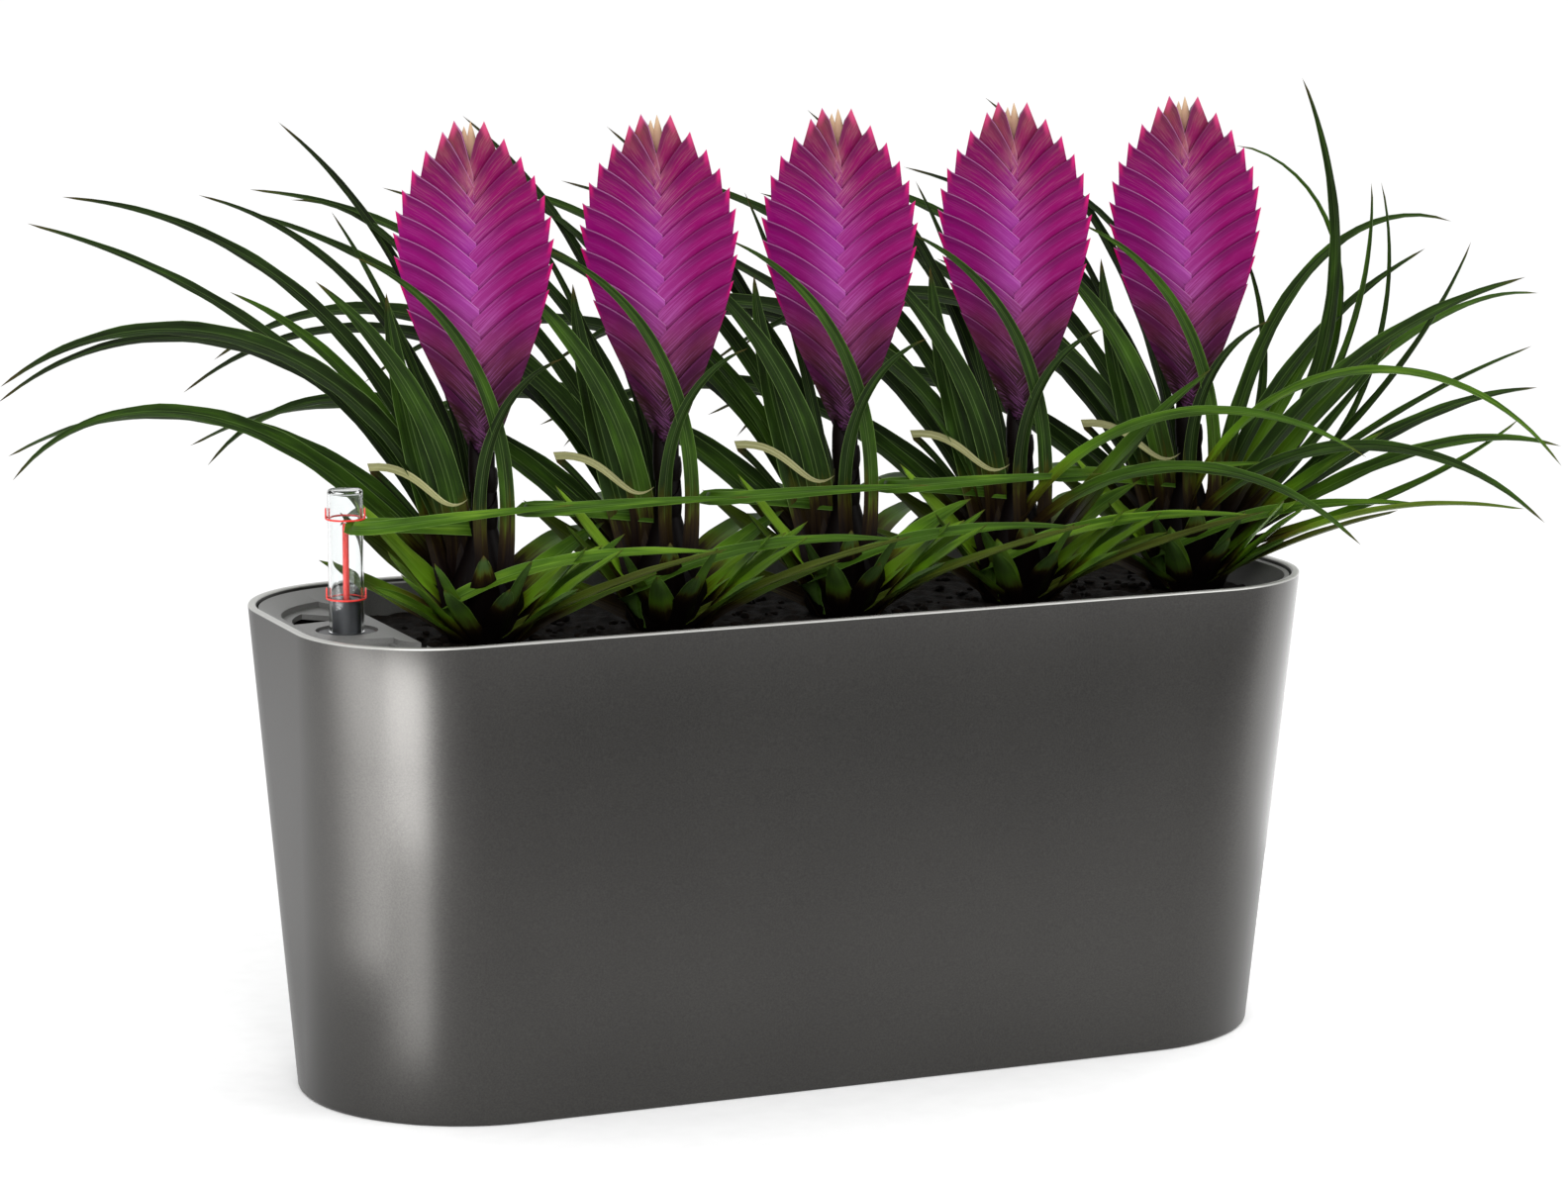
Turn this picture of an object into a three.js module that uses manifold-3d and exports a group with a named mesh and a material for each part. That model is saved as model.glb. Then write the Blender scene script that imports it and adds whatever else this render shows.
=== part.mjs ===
// A long planter with five flowering tillandsias, in millimetres, +Z up.
// The origin is the middle of the planter's base, and X runs along its length.

import * as THREE from 'three';
import { mergeVertices } from 'three/addons/utils/BufferGeometryUtils.js';
import Module from 'manifold-3d';

const wasm = await Module();
wasm.setup();

const { degToRad, lerp } = THREE.MathUtils;

// Planter shell: tapered, with round ends
const HEIGHT = 180;
const TOP = { length: 402, depth: 152, corner: 51 };
const FOOT = { length: 383, depth: 128, corner: 63 };
const WALL = 3;
const FLOOR = 4;
const RIM_ROUND = 0.8;
const CORNER_STEPS = 8;
const SEAT = 0.3;

// Liner: it stands in the shell, with a plate at its left end and the soil to the right of that
const LINER_GAP = 0.8;
const LINER_WALL = 1.8;
const LINER_TOP = HEIGHT - 1.5;
const LINER_FLOOR = 42;
const COLLAR_FOOT = 9;
const PLATE_TOP = HEIGHT - 5;
const PLATE_THICKNESS = 4;
const BAY_LEFT = -157;
const BAY_CORNER = 26;
const SLOT_CENTRE = { x: -150, y: 24 };
const SLOT = { inner: 15, outer: 35, from: 136, to: 184 };
const RECESS = { inner: 13, outer: 39, from: 112, to: 190, depth: 2 };
const FOOT_PLACES = [-130, 0, 130];
const LINER_FOOT = { top: 15, bottom: 11, y: 34 };

// Water-level indicator in the plate's round hole
const INDICATOR_X = -173.5;
const ROUND_STEPS = 16;
const HOLE_RADIUS = 11.5;
const PIPE = { radius: 10.9, bore: 8.2, boreTop: 150, guide: 2 };
const SLEEVE = { radius: 5.3, top: PLATE_TOP + 11.5 };
const TUBE = { outer: 6.5, inner: 5.6, top: PLATE_TOP + 52 };
const MARK = { inner: 6.85, outer: 7.6, height: 1.4, tick: 4.5 };
const LOWER_MARK = PLATE_TOP + 11.5;
const UPPER_MARK = PLATE_TOP + 41;
const ROD = { radius: 1.15, top: PLATE_TOP + 39.5 };
const FLOAT = { radius: 7.6, bottom: 35, height: 9 };

// Soil
const GRANULATE_TOP = 68;
const SOIL_TOP = 166;

// Plants
const PLANT_X = [-120, -47, 26, 99, 172];
const FACE = -23;
const STEM = { foot: SOIL_TOP - 15, radius: 8.4, hole: 8.8, crown: 16 };
const CROWN = 180;
const STALK_RADIUS = 4.4;
const HEAD_FOOT = 238;
const HEAD = { height: 122, halfWidth: 29.5, halfDepth: 7, lean: 2 };
const HEAD_OUTLINE = { widest: 0.63, above: 0.4, lowCurve: 1.7, highCurve: 2.2 };
const HEAD_RIDGE = { swell: 9, taper: 10.5, curve: 1.7 };
const BRACTS_A_SIDE = 11;
const BRACT = { past: 1.4, leastOut: 5, drop: 20, fullDrop: 30, arch: 9, step: 0.8 };
const BRACT_TIP = { crowding: 0.6, below: 1 };
const TOOTH = { out: 0.8, moreOut: 1.8, up: 0.6, moreUp: 0.6, topUp: 3, grownBy: 5 };
const LEAF_FOOT = { spread: 0.2, share: 0.2 };
const LEAF_OUT = 6;
const KEEL = { least: 0.7, share: 0.14 };
const MORE_SEGMENTS_FROM = [70, 110, 200, 220];
const STEPS_A_SEGMENT = 7;
const FACING = 0.6;

// Room that leaves leave round what they pass, and the grid of cells that keeps them off each other
const CLEAR = { head: 3, face: 2.2, crown: 19, crownTop: 203, stalk: 7.5, tube: 2 };
const CLEAR_OF_PLANTER = { side: 3, above: 2, soil: 1 };
const OPEN_BAY = { halfDepth: 64, left: BAY_LEFT + 5, right: 184 };
const CELL = 2;
const CELLS_A_SIDE = 1024;
const POINT_SPACING = 2.5;
const LIFTS = [0, 5, -5, 10, -10];
const ASIDES = [0, 3, -3, 6, -6, 9, -9, 12, -12, 16, -16, 20, -20];

// Leaves of every plant. turn is the way a leaf goes, in degrees from +X towards +Y. It climbs at rise
// degrees and ends at fall degrees, bending late where ease is high. sweep turns it sideways as it goes,
// all at once where it has a hook. root and out place its foot round the stem, and up lifts the foot.
// face turns its upper side towards the front.
const LEAVES = [
  { turn: 185, rise: 98, fall: 20, ease: 1.5, length: 155, width: 6, sweep: -15, root: -83, out: 13, face: 3 },
  { turn: 140, rise: 73, fall: 86, ease: 3, length: 120, width: 13, root: 200, out: 10, face: 2 },
  { turn: 158, rise: 97, fall: 39, ease: 0.9, length: 138, width: 11, root: 180, out: 10, face: 2 },
  { turn: -30, rise: 96, fall: 17, ease: 2.2, length: 106, width: 6, sweep: 10, root: -105, out: 13, face: 2 },
  { turn: 170, rise: 6, fall: 0, length: 150, width: 6, sweep: 180, hook: 0.38, out: 3, up: 30, face: 2 },
  { turn: 200, rise: 66, fall: -6, ease: 0.4, length: 128, width: 8, sweep: 142, hook: 0.14, out: 12, up: -10 },
  { turn: -46, rise: 29, fall: 15, length: 98, width: 6, root: -80, out: 13, up: -8 },
  { turn: 142, rise: 73, fall: 14, ease: 0.8, length: 224, width: 9, sweep: 20 },
  { turn: 130, rise: 78, fall: 2, ease: 1.1, length: 234, width: 9, sweep: 20 },
  { turn: 125, rise: 83, fall: 8, ease: 1.2, length: 205, width: 7, sweep: 10, root: 67, out: 12 },
  { turn: 130, rise: 90, fall: -10, ease: 2.1, length: 190, width: 6, root: 67, out: 12 },
  { turn: 130, rise: 86, fall: 32, ease: 1.3, length: 203, width: 7, root: 67, out: 12 },
  { turn: 130, rise: 72, fall: 15, ease: 1.2, length: 158, width: 9 },
  { turn: 124, rise: 72, fall: -42, ease: 1.1, length: 243, width: 10, sweep: 28 },
  { turn: 162, rise: 79, fall: -41, ease: 1.2, length: 230, width: 13 },
  { turn: 138, rise: 67, fall: -29, ease: 0.7, length: 234, width: 9, sweep: -16 },
  { turn: 148, rise: 48, fall: -57, ease: 1.9, length: 205, width: 11, sweep: 4 },
  { turn: 118, rise: 80, fall: 45, ease: 1.1, length: 160, width: 5 },
  { turn: 250, rise: 66, fall: 60, length: 38, width: 14, out: 12, up: -10 },
  { turn: 222, rise: 58, fall: 40, length: 42, width: 12, out: 11, up: -10 },
  { turn: 276, rise: 60, fall: 36, length: 44, width: 12, out: 11, up: -10 },
  { turn: 306, rise: 52, fall: 40, length: 50, width: 11, out: 11, up: -10 },
  { turn: 333, rise: 44, fall: 40, length: 58, width: 10, root: 300, out: 12, up: -10 },
  { turn: 200, rise: 48, fall: 44, length: 50, width: 11, out: 11, up: -10 },
  { turn: -42, rise: 44, fall: 30, length: 52, width: 12, up: -6 },
  { turn: -15, rise: 38, fall: 25, length: 50, width: 12, up: -6 },
  { turn: 10, rise: 46, fall: 20, length: 56, width: 12, up: -4 },
  { turn: 170, rise: 46, fall: 50, length: 62, width: 13, up: -4 },
  { turn: 148, rise: 40, fall: 35, length: 62, width: 13, up: -4 },
  { turn: 68, rise: 44, fall: -32, length: 108, width: 11 },
  { turn: 36, rise: 40, fall: -25, length: 92, width: 10 },
  { turn: 100, rise: 42, fall: -30, length: 120, width: 11 },
];

// More leaves that the plant at the right end and the one beside it send to the right
const END_LEAVES = [
  { turn: -10, rise: 40, fall: 115, ease: 0.9, length: 203, width: 9 },
  { turn: -5, rise: 45, fall: 175, ease: 1.9, length: 200, width: 4 },
  { turn: 5, rise: 75, fall: -27, ease: 2.7, length: 186, width: 8, sweep: -16 },
  { turn: 0, rise: 73, fall: 26, ease: 1.1, length: 154, width: 8, sweep: -10 },
  { turn: -30, rise: 66, fall: 14, ease: 1.1, length: 171, width: 12 },
  { turn: -14, rise: 52, fall: -12, ease: 1.8, length: 196, width: 6, sweep: 35 },
  { turn: -20, rise: 38, fall: 69, ease: 1.5, length: 162, width: 5 },
  { turn: -20, rise: 36, fall: -4, ease: 1.8, length: 160, width: 9, sweep: 30 },
  { turn: -23, rise: 40, fall: 20, ease: 1.7, length: 152, width: 5 },
  { turn: -45, rise: 84, fall: -55, length: 205, width: 7, root: 220, out: 12 },
  { turn: -36, rise: 32, fall: -19, ease: 2.6, length: 150, width: 10, sweep: 3 },
  { turn: -42, rise: 64, fall: -45, ease: 0.9, length: 172, width: 9, root: 210, out: 12 },
  { turn: -50, rise: 22, fall: -5, ease: 1.2, length: 145, width: 5, sweep: 11, root: -70, out: 14, up: -6 },
  { turn: -35, rise: 8, fall: 42, ease: 2.2, length: 135, width: 6, sweep: 5 },
  { turn: -38, rise: 45, fall: 54, ease: 0.8, length: 112, width: 9, sweep: 5 },
  { turn: -5, rise: 18, fall: 106, ease: 0.9, length: 178, width: 4 },
  { turn: -10, rise: 42, fall: 95, ease: 1.2, length: 165, width: 5 },
  { turn: 10, rise: 50, fall: 122, ease: 1.2, length: 130, width: 5 },
  { turn: -20, rise: 56, fall: 44, length: 118, width: 13 },
  { turn: -2, rise: 64, fall: 52, length: 112, width: 12 },
  { turn: -45, rise: 42, fall: 30, length: 90, width: 12 },
];
const BESIDE_END_LEAVES = [
  { turn: -44, rise: 62, fall: -45, ease: 0.9, length: 165, width: 9, root: 210, out: 12 },
  { turn: -38, rise: 76, fall: -35, ease: 0.9, length: 175, width: 8, root: 210, out: 14 },
  { turn: -30, rise: 54, fall: 50, length: 88, width: 12 },
  { turn: -20, rise: 60, fall: 38, length: 105, width: 12 },
];

// Geometry helpers

// A closed body through rings of points that run anticlockwise seen from its far end. The last ring may be
// one point.
function loft(rings) {
  const positions = rings.flat().flatMap((point) => point.toArray());
  const index = [];
  const count = rings[0].length;
  for (let corner = 1; corner < count - 1; corner += 1) {
    index.push(0, corner + 1, corner);
  }
  for (let ring = 1; ring < rings.length; ring += 1) {
    const below = (ring - 1) * count;
    const above = ring * count;
    for (let corner = 0; corner < count; corner += 1) {
      const next = (corner + 1) % count;
      if (rings[ring].length === 1) {
        index.push(below + corner, below + next, above);
      } else {
        index.push(below + corner, below + next, above + next);
        index.push(below + corner, above + next, above + corner);
      }
    }
  }
  const last = (rings.length - 1) * count;
  if (rings.at(-1).length > 1) {
    for (let corner = 1; corner < count - 1; corner += 1) {
      index.push(last, last + corner, last + corner + 1);
    }
  }
  const geometry = new THREE.BufferGeometry();
  geometry.setAttribute('position', new THREE.Float32BufferAttribute(positions, 3));
  geometry.setIndex(index);
  return geometry;
}

function solid(geometry) {
  geometry.deleteAttribute('normal');
  geometry.deleteAttribute('uv');
  const merged = mergeVertices(geometry, 1e-4);
  return new wasm.Manifold(new wasm.Mesh({
    numProp: 3,
    vertProperties: new Float32Array(merged.attributes.position.array),
    triVerts: new Uint32Array(merged.index.array),
  }));
}

function geometryOf(body) {
  const mesh = body.getMesh();
  const geometry = new THREE.BufferGeometry();
  geometry.setAttribute('position', new THREE.BufferAttribute(mesh.vertProperties, 3));
  geometry.setIndex(new THREE.BufferAttribute(mesh.triVerts, 1));
  return geometry;
}

function joined(bodies) {
  return bodies.reduce((whole, body) => whole.add(body));
}

function extruded(shape, bottom, height) {
  return new THREE.ExtrudeGeometry(shape, { depth: height, bevelEnabled: false, curveSegments: 6 })
    .translate(0, 0, bottom);
}

function turned(profile, steps) {
  const points = profile.map(([radius, z]) => new THREE.Vector2(radius, z));
  return new THREE.LatheGeometry(points, steps).rotateX(Math.PI / 2);
}

// Planter

// The planter's rounded outline at height z, drawn in by inset
function outline(z, inset, level = z) {
  const t = z / HEIGHT;
  const corner = lerp(FOOT.corner, TOP.corner, t) - inset;
  const x = lerp(FOOT.length, TOP.length, t) / 2 - inset - corner;
  const y = lerp(FOOT.depth, TOP.depth, t) / 2 - inset - corner;
  const points = [];
  [[x, y], [-x, y], [-x, -y], [x, -y]].forEach(([centreX, centreY], quarter) => {
    for (let step = 0; step <= CORNER_STEPS; step += 1) {
      const angle = (quarter + step / CORNER_STEPS) * Math.PI / 2;
      const px = centreX + corner * Math.cos(angle);
      const py = centreY + corner * Math.sin(angle);
      points.push(new THREE.Vector3(px, py, level));
    }
  });
  return points;
}

function shellGeometry() {
  return loft([
    outline(0, 1.5),
    outline(1.5, 0),
    outline(HEIGHT - RIM_ROUND, 0),
    outline(HEIGHT, RIM_ROUND),
    outline(HEIGHT, WALL - RIM_ROUND),
    outline(HEIGHT - RIM_ROUND, WALL),
    outline(FLOOR, WALL),
  ]);
}

// The part of a ring round the slot's centre between two radii and two directions
function ringSector({ inner, outer, from, to }, side) {
  const shape = new THREE.Shape();
  const start = degToRad(from);
  const end = degToRad(to);
  shape.absarc(SLOT_CENTRE.x, SLOT_CENTRE.y, outer, start, end, false);
  shape.absarc(SLOT_CENTRE.x, SLOT_CENTRE.y, inner, end, start, true);
  const points = shape.getPoints(4).map(({ x, y }) => new THREE.Vector2(x, y * side));
  return new THREE.Shape(points);
}

// The room for the soil, with its left corners rounded, drawn in by inset
function bay(bottom, top, inset) {
  const wallInset = WALL + LINER_GAP + LINER_WALL + inset;
  const inside = solid(loft([outline(bottom, wallInset), outline(top, wallInset)]));
  const left = BAY_LEFT + inset;
  const corner = BAY_CORNER - inset;
  const halfDepth = lerp(FOOT.depth, TOP.depth, top / HEIGHT) / 2 - wallInset;
  const shape = new THREE.Shape();
  shape.moveTo(TOP.length / 2, -halfDepth);
  shape.lineTo(TOP.length / 2, halfDepth);
  shape.absarc(left + corner, halfDepth - corner, corner, Math.PI / 2, Math.PI, false);
  shape.absarc(left + corner, corner - halfDepth, corner, Math.PI, 1.5 * Math.PI, false);
  return inside.intersect(solid(extruded(shape, bottom - 1, top - bottom + 2)));
}

function linerBody() {
  const outside = WALL + LINER_GAP;
  const underPlate = PLATE_TOP - PLATE_THICKNESS;
  const bottom = LINER_FLOOR - 2.2;
  let body = solid(loft([outline(bottom, outside), outline(LINER_TOP, outside)]));
  const collar = loft([
    outline(PLATE_TOP, outside + COLLAR_FOOT),
    outline(LINER_TOP, outside + 1),
    outline(LINER_TOP, outside + 1, LINER_TOP + 1),
  ]);
  body = body.subtract(solid(collar));
  body = body.subtract(bay(LINER_FLOOR, LINER_TOP + 1, 0));
  const behind = new THREE.BoxGeometry(100, 200, underPlate)
    .translate(BAY_LEFT - LINER_WALL - 50, 0, underPlate / 2);
  body = body.subtract(solid(behind));
  for (const side of [-1, 1]) {
    body = body.subtract(solid(extruded(ringSector(SLOT, side), underPlate - 1, 20)));
    body = body.subtract(solid(extruded(ringSector(RECESS, side), PLATE_TOP - RECESS.depth, 20)));
  }
  const hole = new THREE.CylinderGeometry(HOLE_RADIUS, HOLE_RADIUS, 20, ROUND_STEPS)
    .rotateX(Math.PI / 2)
    .translate(INDICATOR_X, 0, PLATE_TOP);
  body = body.subtract(solid(hole));
  const height = bottom - FLOOR - SEAT + 1;
  for (const x of FOOT_PLACES) {
    for (const y of [-LINER_FOOT.y, LINER_FOOT.y]) {
      const foot = new THREE.CylinderGeometry(LINER_FOOT.top, LINER_FOOT.bottom, height, 10)
        .rotateX(Math.PI / 2)
        .translate(x, y, FLOOR + SEAT + height / 2);
      body = body.add(solid(foot));
    }
  }
  return body;
}

function granulateBody() {
  return bay(LINER_FLOOR + SEAT, GRANULATE_TOP, SEAT);
}

function soilBody() {
  const hole = new THREE.CylinderGeometry(STEM.hole, STEM.hole, 2 * (SOIL_TOP - STEM.foot) + 0.6, 12)
    .rotateX(Math.PI / 2);
  let body = bay(GRANULATE_TOP + SEAT, SOIL_TOP, SEAT);
  for (const x of PLANT_X) {
    body = body.subtract(solid(hole.clone().translate(x, 0, SOIL_TOP)));
  }
  return body;
}

// Indicator

function housingGeometry() {
  const foot = FLOOR + SEAT;
  const shoulder = PLATE_TOP - 0.8;
  return turned([
    [PIPE.bore, foot], [PIPE.radius, foot], [PIPE.radius, shoulder], [SLEEVE.radius, shoulder],
    [SLEEVE.radius, SLEEVE.top], [PIPE.guide, SLEEVE.top], [PIPE.guide, PIPE.boreTop],
    [PIPE.bore, PIPE.boreTop], [PIPE.bore, foot],
  ], ROUND_STEPS).translate(INDICATOR_X, 0, 0);
}

function tubeGeometry() {
  const foot = PLATE_TOP - 0.5;
  return turned([
    [0, TUBE.top - 1.2], [TUBE.inner - 0.8, TUBE.top - 1.2], [TUBE.inner, TUBE.top - 2], [TUBE.inner, foot],
    [TUBE.outer, foot], [TUBE.outer, TUBE.top - 1], [TUBE.inner, TUBE.top], [0, TUBE.top],
  ], ROUND_STEPS).translate(INDICATOR_X, 0, 0);
}

// A red ring round the tube with a short upright tick at each side
function markBody(z) {
  const top = z + MARK.height;
  let body = solid(turned([
    [MARK.inner, z], [MARK.outer, z], [MARK.outer, top], [MARK.inner, top], [MARK.inner, z],
  ], ROUND_STEPS));
  for (const side of [-1, 1]) {
    const tick = new THREE.BoxGeometry(MARK.outer - MARK.inner, 1.6, MARK.tick)
      .translate(side * (MARK.outer + MARK.inner) / 2, 0, z + MARK.tick / 2)
      .rotateZ(degToRad(FACE));
    body = body.add(solid(tick));
  }
  return body.translate([INDICATOR_X, 0, 0]);
}

function floatGeometry() {
  const top = FLOAT.bottom + FLOAT.height;
  return turned([
    [0, FLOAT.bottom], [FLOAT.radius - 1, FLOAT.bottom], [FLOAT.radius, FLOAT.bottom + 1],
    [FLOAT.radius, top - 1], [FLOAT.radius - 1, top], [ROD.radius, top], [ROD.radius, ROD.top],
    [0, ROD.top],
  ], ROUND_STEPS / 2).translate(INDICATOR_X, 0, 0);
}

// Flower head

// Half the head's width at a height from 0 at its foot to 1 at its top
function headHalfWidth(t) {
  const { widest, above, lowCurve, highCurve } = HEAD_OUTLINE;
  if (t < widest) {
    return HEAD.halfWidth * (1 - Math.pow((widest - t) / widest, lowCurve));
  }
  return HEAD.halfWidth * (1 - Math.pow((t - widest) / above, highCurve));
}

// How far the head's face stands out from its middle plane
function headDepth(out, height) {
  const t = height / HEAD.height;
  const ridge = STALK_RADIUS + HEAD_RIDGE.swell * t - HEAD_RIDGE.taper * t * t;
  return ridge * (1 - Math.pow(Math.min(Math.abs(out) / headHalfWidth(t), 1), HEAD_RIDGE.curve));
}

// The upper edge of a bract on one side: points from the head's middle line to its outline, on the bract
// itself (high) and on the next bract that comes out from under it (low), and the bract's tip. Number 0 is
// the foot.
function bractEdge(number, side) {
  if (number === 0) {
    const foot = [0, 30, 60, 90].map((angle) => new THREE.Vector3(
      side * STALK_RADIUS * Math.sin(degToRad(angle)),
      STALK_RADIUS * Math.cos(degToRad(angle)),
      0,
    ));
    return { high: foot, low: foot };
  }
  const place = (number + (side > 0 ? 0.5 : 0)) / (BRACTS_A_SIDE + 0.5);
  const tipHeight = HEAD.height * Math.pow(place, BRACT_TIP.crowding) - BRACT_TIP.below;
  const tipOut = Math.max(headHalfWidth(tipHeight / HEAD.height), BRACT.leastOut);
  const drop = BRACT.drop * Math.min(1, tipHeight / BRACT.fullDrop);
  const grown = Math.min(1, number / TOOTH.grownBy);
  const start = { out: -BRACT.past, height: tipHeight - drop };
  const notch = {
    out: tipOut - TOOTH.out - TOOTH.moreOut * grown,
    height: tipHeight - TOOTH.up - (TOOTH.moreUp + TOOTH.topUp * place ** 3) * grown,
  };
  const edge = (offset) => [0, 0.4, 0.75, 1].map((t) => {
    const out = lerp(start.out, notch.out, t);
    const arch = BRACT.arch * t * (1 - t) * (tipOut / HEAD.halfWidth);
    const height = lerp(start.height, notch.height, t) + arch;
    const step = t > 0 && t < 1 ? offset : 0;
    const depth = t < 1 ? headDepth(out, height) + step : 0;
    return new THREE.Vector3(side * out, depth, height);
  });
  const tip = new THREE.Vector3(side * tipOut, 0, tipHeight);
  return { high: edge(BRACT.step), low: edge(-BRACT.step), tip };
}

// Both faces of the head, bract by bract, from its foot to its top
function headGeometry() {
  const positions = [];
  const face = (side, ...corners) => {
    for (const front of [-1, 1]) {
      const ordered = side * front < 0 ? corners : [...corners].reverse();
      ordered.forEach(({ x, y, z }) => positions.push(x, y * front, z));
    }
  };
  const edges = { [-1]: [], [1]: [] };
  for (let number = 0; number <= BRACTS_A_SIDE; number += 1) {
    edges[-1].push(bractEdge(number, -1));
    edges[1].push(bractEdge(number, 1));
  }
  for (const side of [-1, 1]) {
    for (let number = 1; number <= BRACTS_A_SIDE; number += 1) {
      const { high, low, tip } = edges[side][number];
      const under = edges[side][number - 1].low;
      const across = edges[-side][side < 0 ? number - 1 : number].high[0];
      if (number > 1 || side > 0) {
        face(side, across, under[0], under[1]);
      }
      face(side, across, under[1], high[1]);
      face(side, across, high[1], high[0]);
      face(side, under[1], under[2], high[2]);
      face(side, under[1], high[2], high[1]);
      face(side, under[2], under[3], tip);
      face(side, under[2], tip, high[2]);
      face(side, high[2], tip, high[3]);
      face(side, high[0], high[1], low[1]);
      face(side, high[1], high[2], low[2]);
      face(side, high[1], low[2], low[1]);
      face(side, high[2], high[3], low[2]);
    }
  }
  const top = new THREE.Vector3(0, 0, HEAD.height);
  for (const side of [-1, 1]) {
    const { low } = edges[side].at(-1);
    face(side, low[0], low[1], top);
    face(side, low[1], low[2], top);
    face(side, low[2], low[3], top);
  }
  face(1, edges[-1].at(-1).low[0], edges[1].at(-1).low[0], top);
  const middle = new THREE.Vector3();
  for (const side of [-1, 1]) {
    const { high } = edges[side][0];
    face(side, middle, high[1], high[0]);
    face(side, middle, high[2], high[1]);
    face(side, middle, high[3], high[2]);
  }
  const geometry = new THREE.BufferGeometry();
  geometry.setAttribute('position', new THREE.Float32BufferAttribute(positions, 3));
  return mergeVertices(geometry, 1e-4);
}

// Leaves

function leafWidth(leaf, along) {
  const foot = 1 + LEAF_FOOT.spread * Math.max(0, 1 - along / LEAF_FOOT.share);
  return leaf.width * foot * Math.pow(1 - Math.pow(along, 2.4), 0.8);
}

// A longer leaf has more segments, and so has one at the front
function leafSegments(leaf) {
  const least = leaf.face || leaf.hook ? 3 : 2;
  return least + MORE_SEGMENTS_FROM.filter((length) => leaf.length > length).length;
}

// How much of a leaf's sweep is done at a place along it
function swept(leaf, along) {
  return leaf.hook ? THREE.MathUtils.smoothstep(along, leaf.hook - 0.12, leaf.hook + 0.12) : along;
}

// Places along a leaf, each with the leaf's two edges and the keel under its middle
function leafStations(leaf, x) {
  const fine = leafSegments(leaf) * STEPS_A_SEGMENT;
  const root = degToRad(leaf.root ?? leaf.turn);
  const out = leaf.out ?? LEAF_OUT;
  const point = new THREE.Vector3(x + out * Math.cos(root), out * Math.sin(root), CROWN + (leaf.up ?? 0));
  const front = new THREE.Vector3(Math.sin(degToRad(FACE)), -Math.cos(degToRad(FACE)), 0);
  const stations = [];
  for (let step = 0; step <= fine; step += 1) {
    const along = step / fine;
    const climb = degToRad(lerp(leaf.rise, leaf.fall, Math.pow(along, leaf.ease ?? 1)));
    const heading = degToRad(leaf.turn + (leaf.sweep ?? 0) * swept(leaf, along));
    const flat = new THREE.Vector3(Math.cos(heading), Math.sin(heading), 0);
    const tangent = flat.clone().multiplyScalar(Math.cos(climb)).setZ(Math.sin(climb));
    if (step % STEPS_A_SEGMENT === 0) {
      const upward = flat.multiplyScalar(-Math.sin(climb)).setZ(Math.cos(climb));
      const forward = front.clone().addScaledVector(tangent, -front.dot(tangent));
      upward.addScaledVector(forward, leaf.face ?? FACING).normalize();
      const across = upward.clone().cross(tangent);
      const width = leafWidth(leaf, along);
      stations.push({
        middle: point.clone(),
        left: point.clone().addScaledVector(across, width / 2),
        right: point.clone().addScaledVector(across, -width / 2),
        keel: point.clone().addScaledVector(upward, -KEEL.least - KEEL.share * width),
      });
    }
    point.addScaledVector(tangent, leaf.length / fine);
  }
  return stations;
}

function leafBody(stations) {
  const rings = stations.slice(0, -1).map(({ left, right, keel }) => [left, right, keel]);
  return solid(loft([...rings, [stations.at(-1).middle]]));
}

// Points spread over a leaf past its foot, close enough that another leaf can't pass between them
function leafPoints(leaf, stations) {
  const points = [];
  for (let segment = 0; segment < stations.length - 1; segment += 1) {
    const from = stations[segment];
    const to = stations[segment + 1];
    const steps = Math.ceil(from.middle.distanceTo(to.middle) / POINT_SPACING);
    for (let step = segment === 0 ? 5 : 0; step < steps; step += 1) {
      const left = from.left.clone().lerp(to.left, step / steps);
      const right = from.right.clone().lerp(to.right, step / steps);
      const keel = from.keel.clone().lerp(to.keel, step / steps);
      points.push(left, right, keel, left.clone().lerp(right, 0.5));
      if (leaf.width > 8) {
        points.push(left.clone().lerp(right, 0.25), left.clone().lerp(right, 0.75));
      }
    }
  }
  return points;
}

// Whether a point is inside a flower head or too close to it
function meetsHead(point, x) {
  const height = (point.z - HEAD_FOOT) / HEAD.height;
  if (height < -0.03 || height > 1.03) {
    return false;
  }
  const facing = degToRad(FACE);
  const lean = (point.z - HEAD_FOOT) * Math.tan(degToRad(HEAD.lean));
  const across = Math.abs((point.x - x) * Math.cos(facing) + point.y * Math.sin(facing) + lean);
  const depth = Math.abs(point.y * Math.cos(facing) - (point.x - x) * Math.sin(facing));
  const half = headHalfWidth(Math.min(Math.max(height + 0.05, 0.1), 0.97)) + CLEAR.head;
  return across < half && depth < (HEAD.halfDepth + 2) * (1 - across / half) + CLEAR.face;
}

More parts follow.
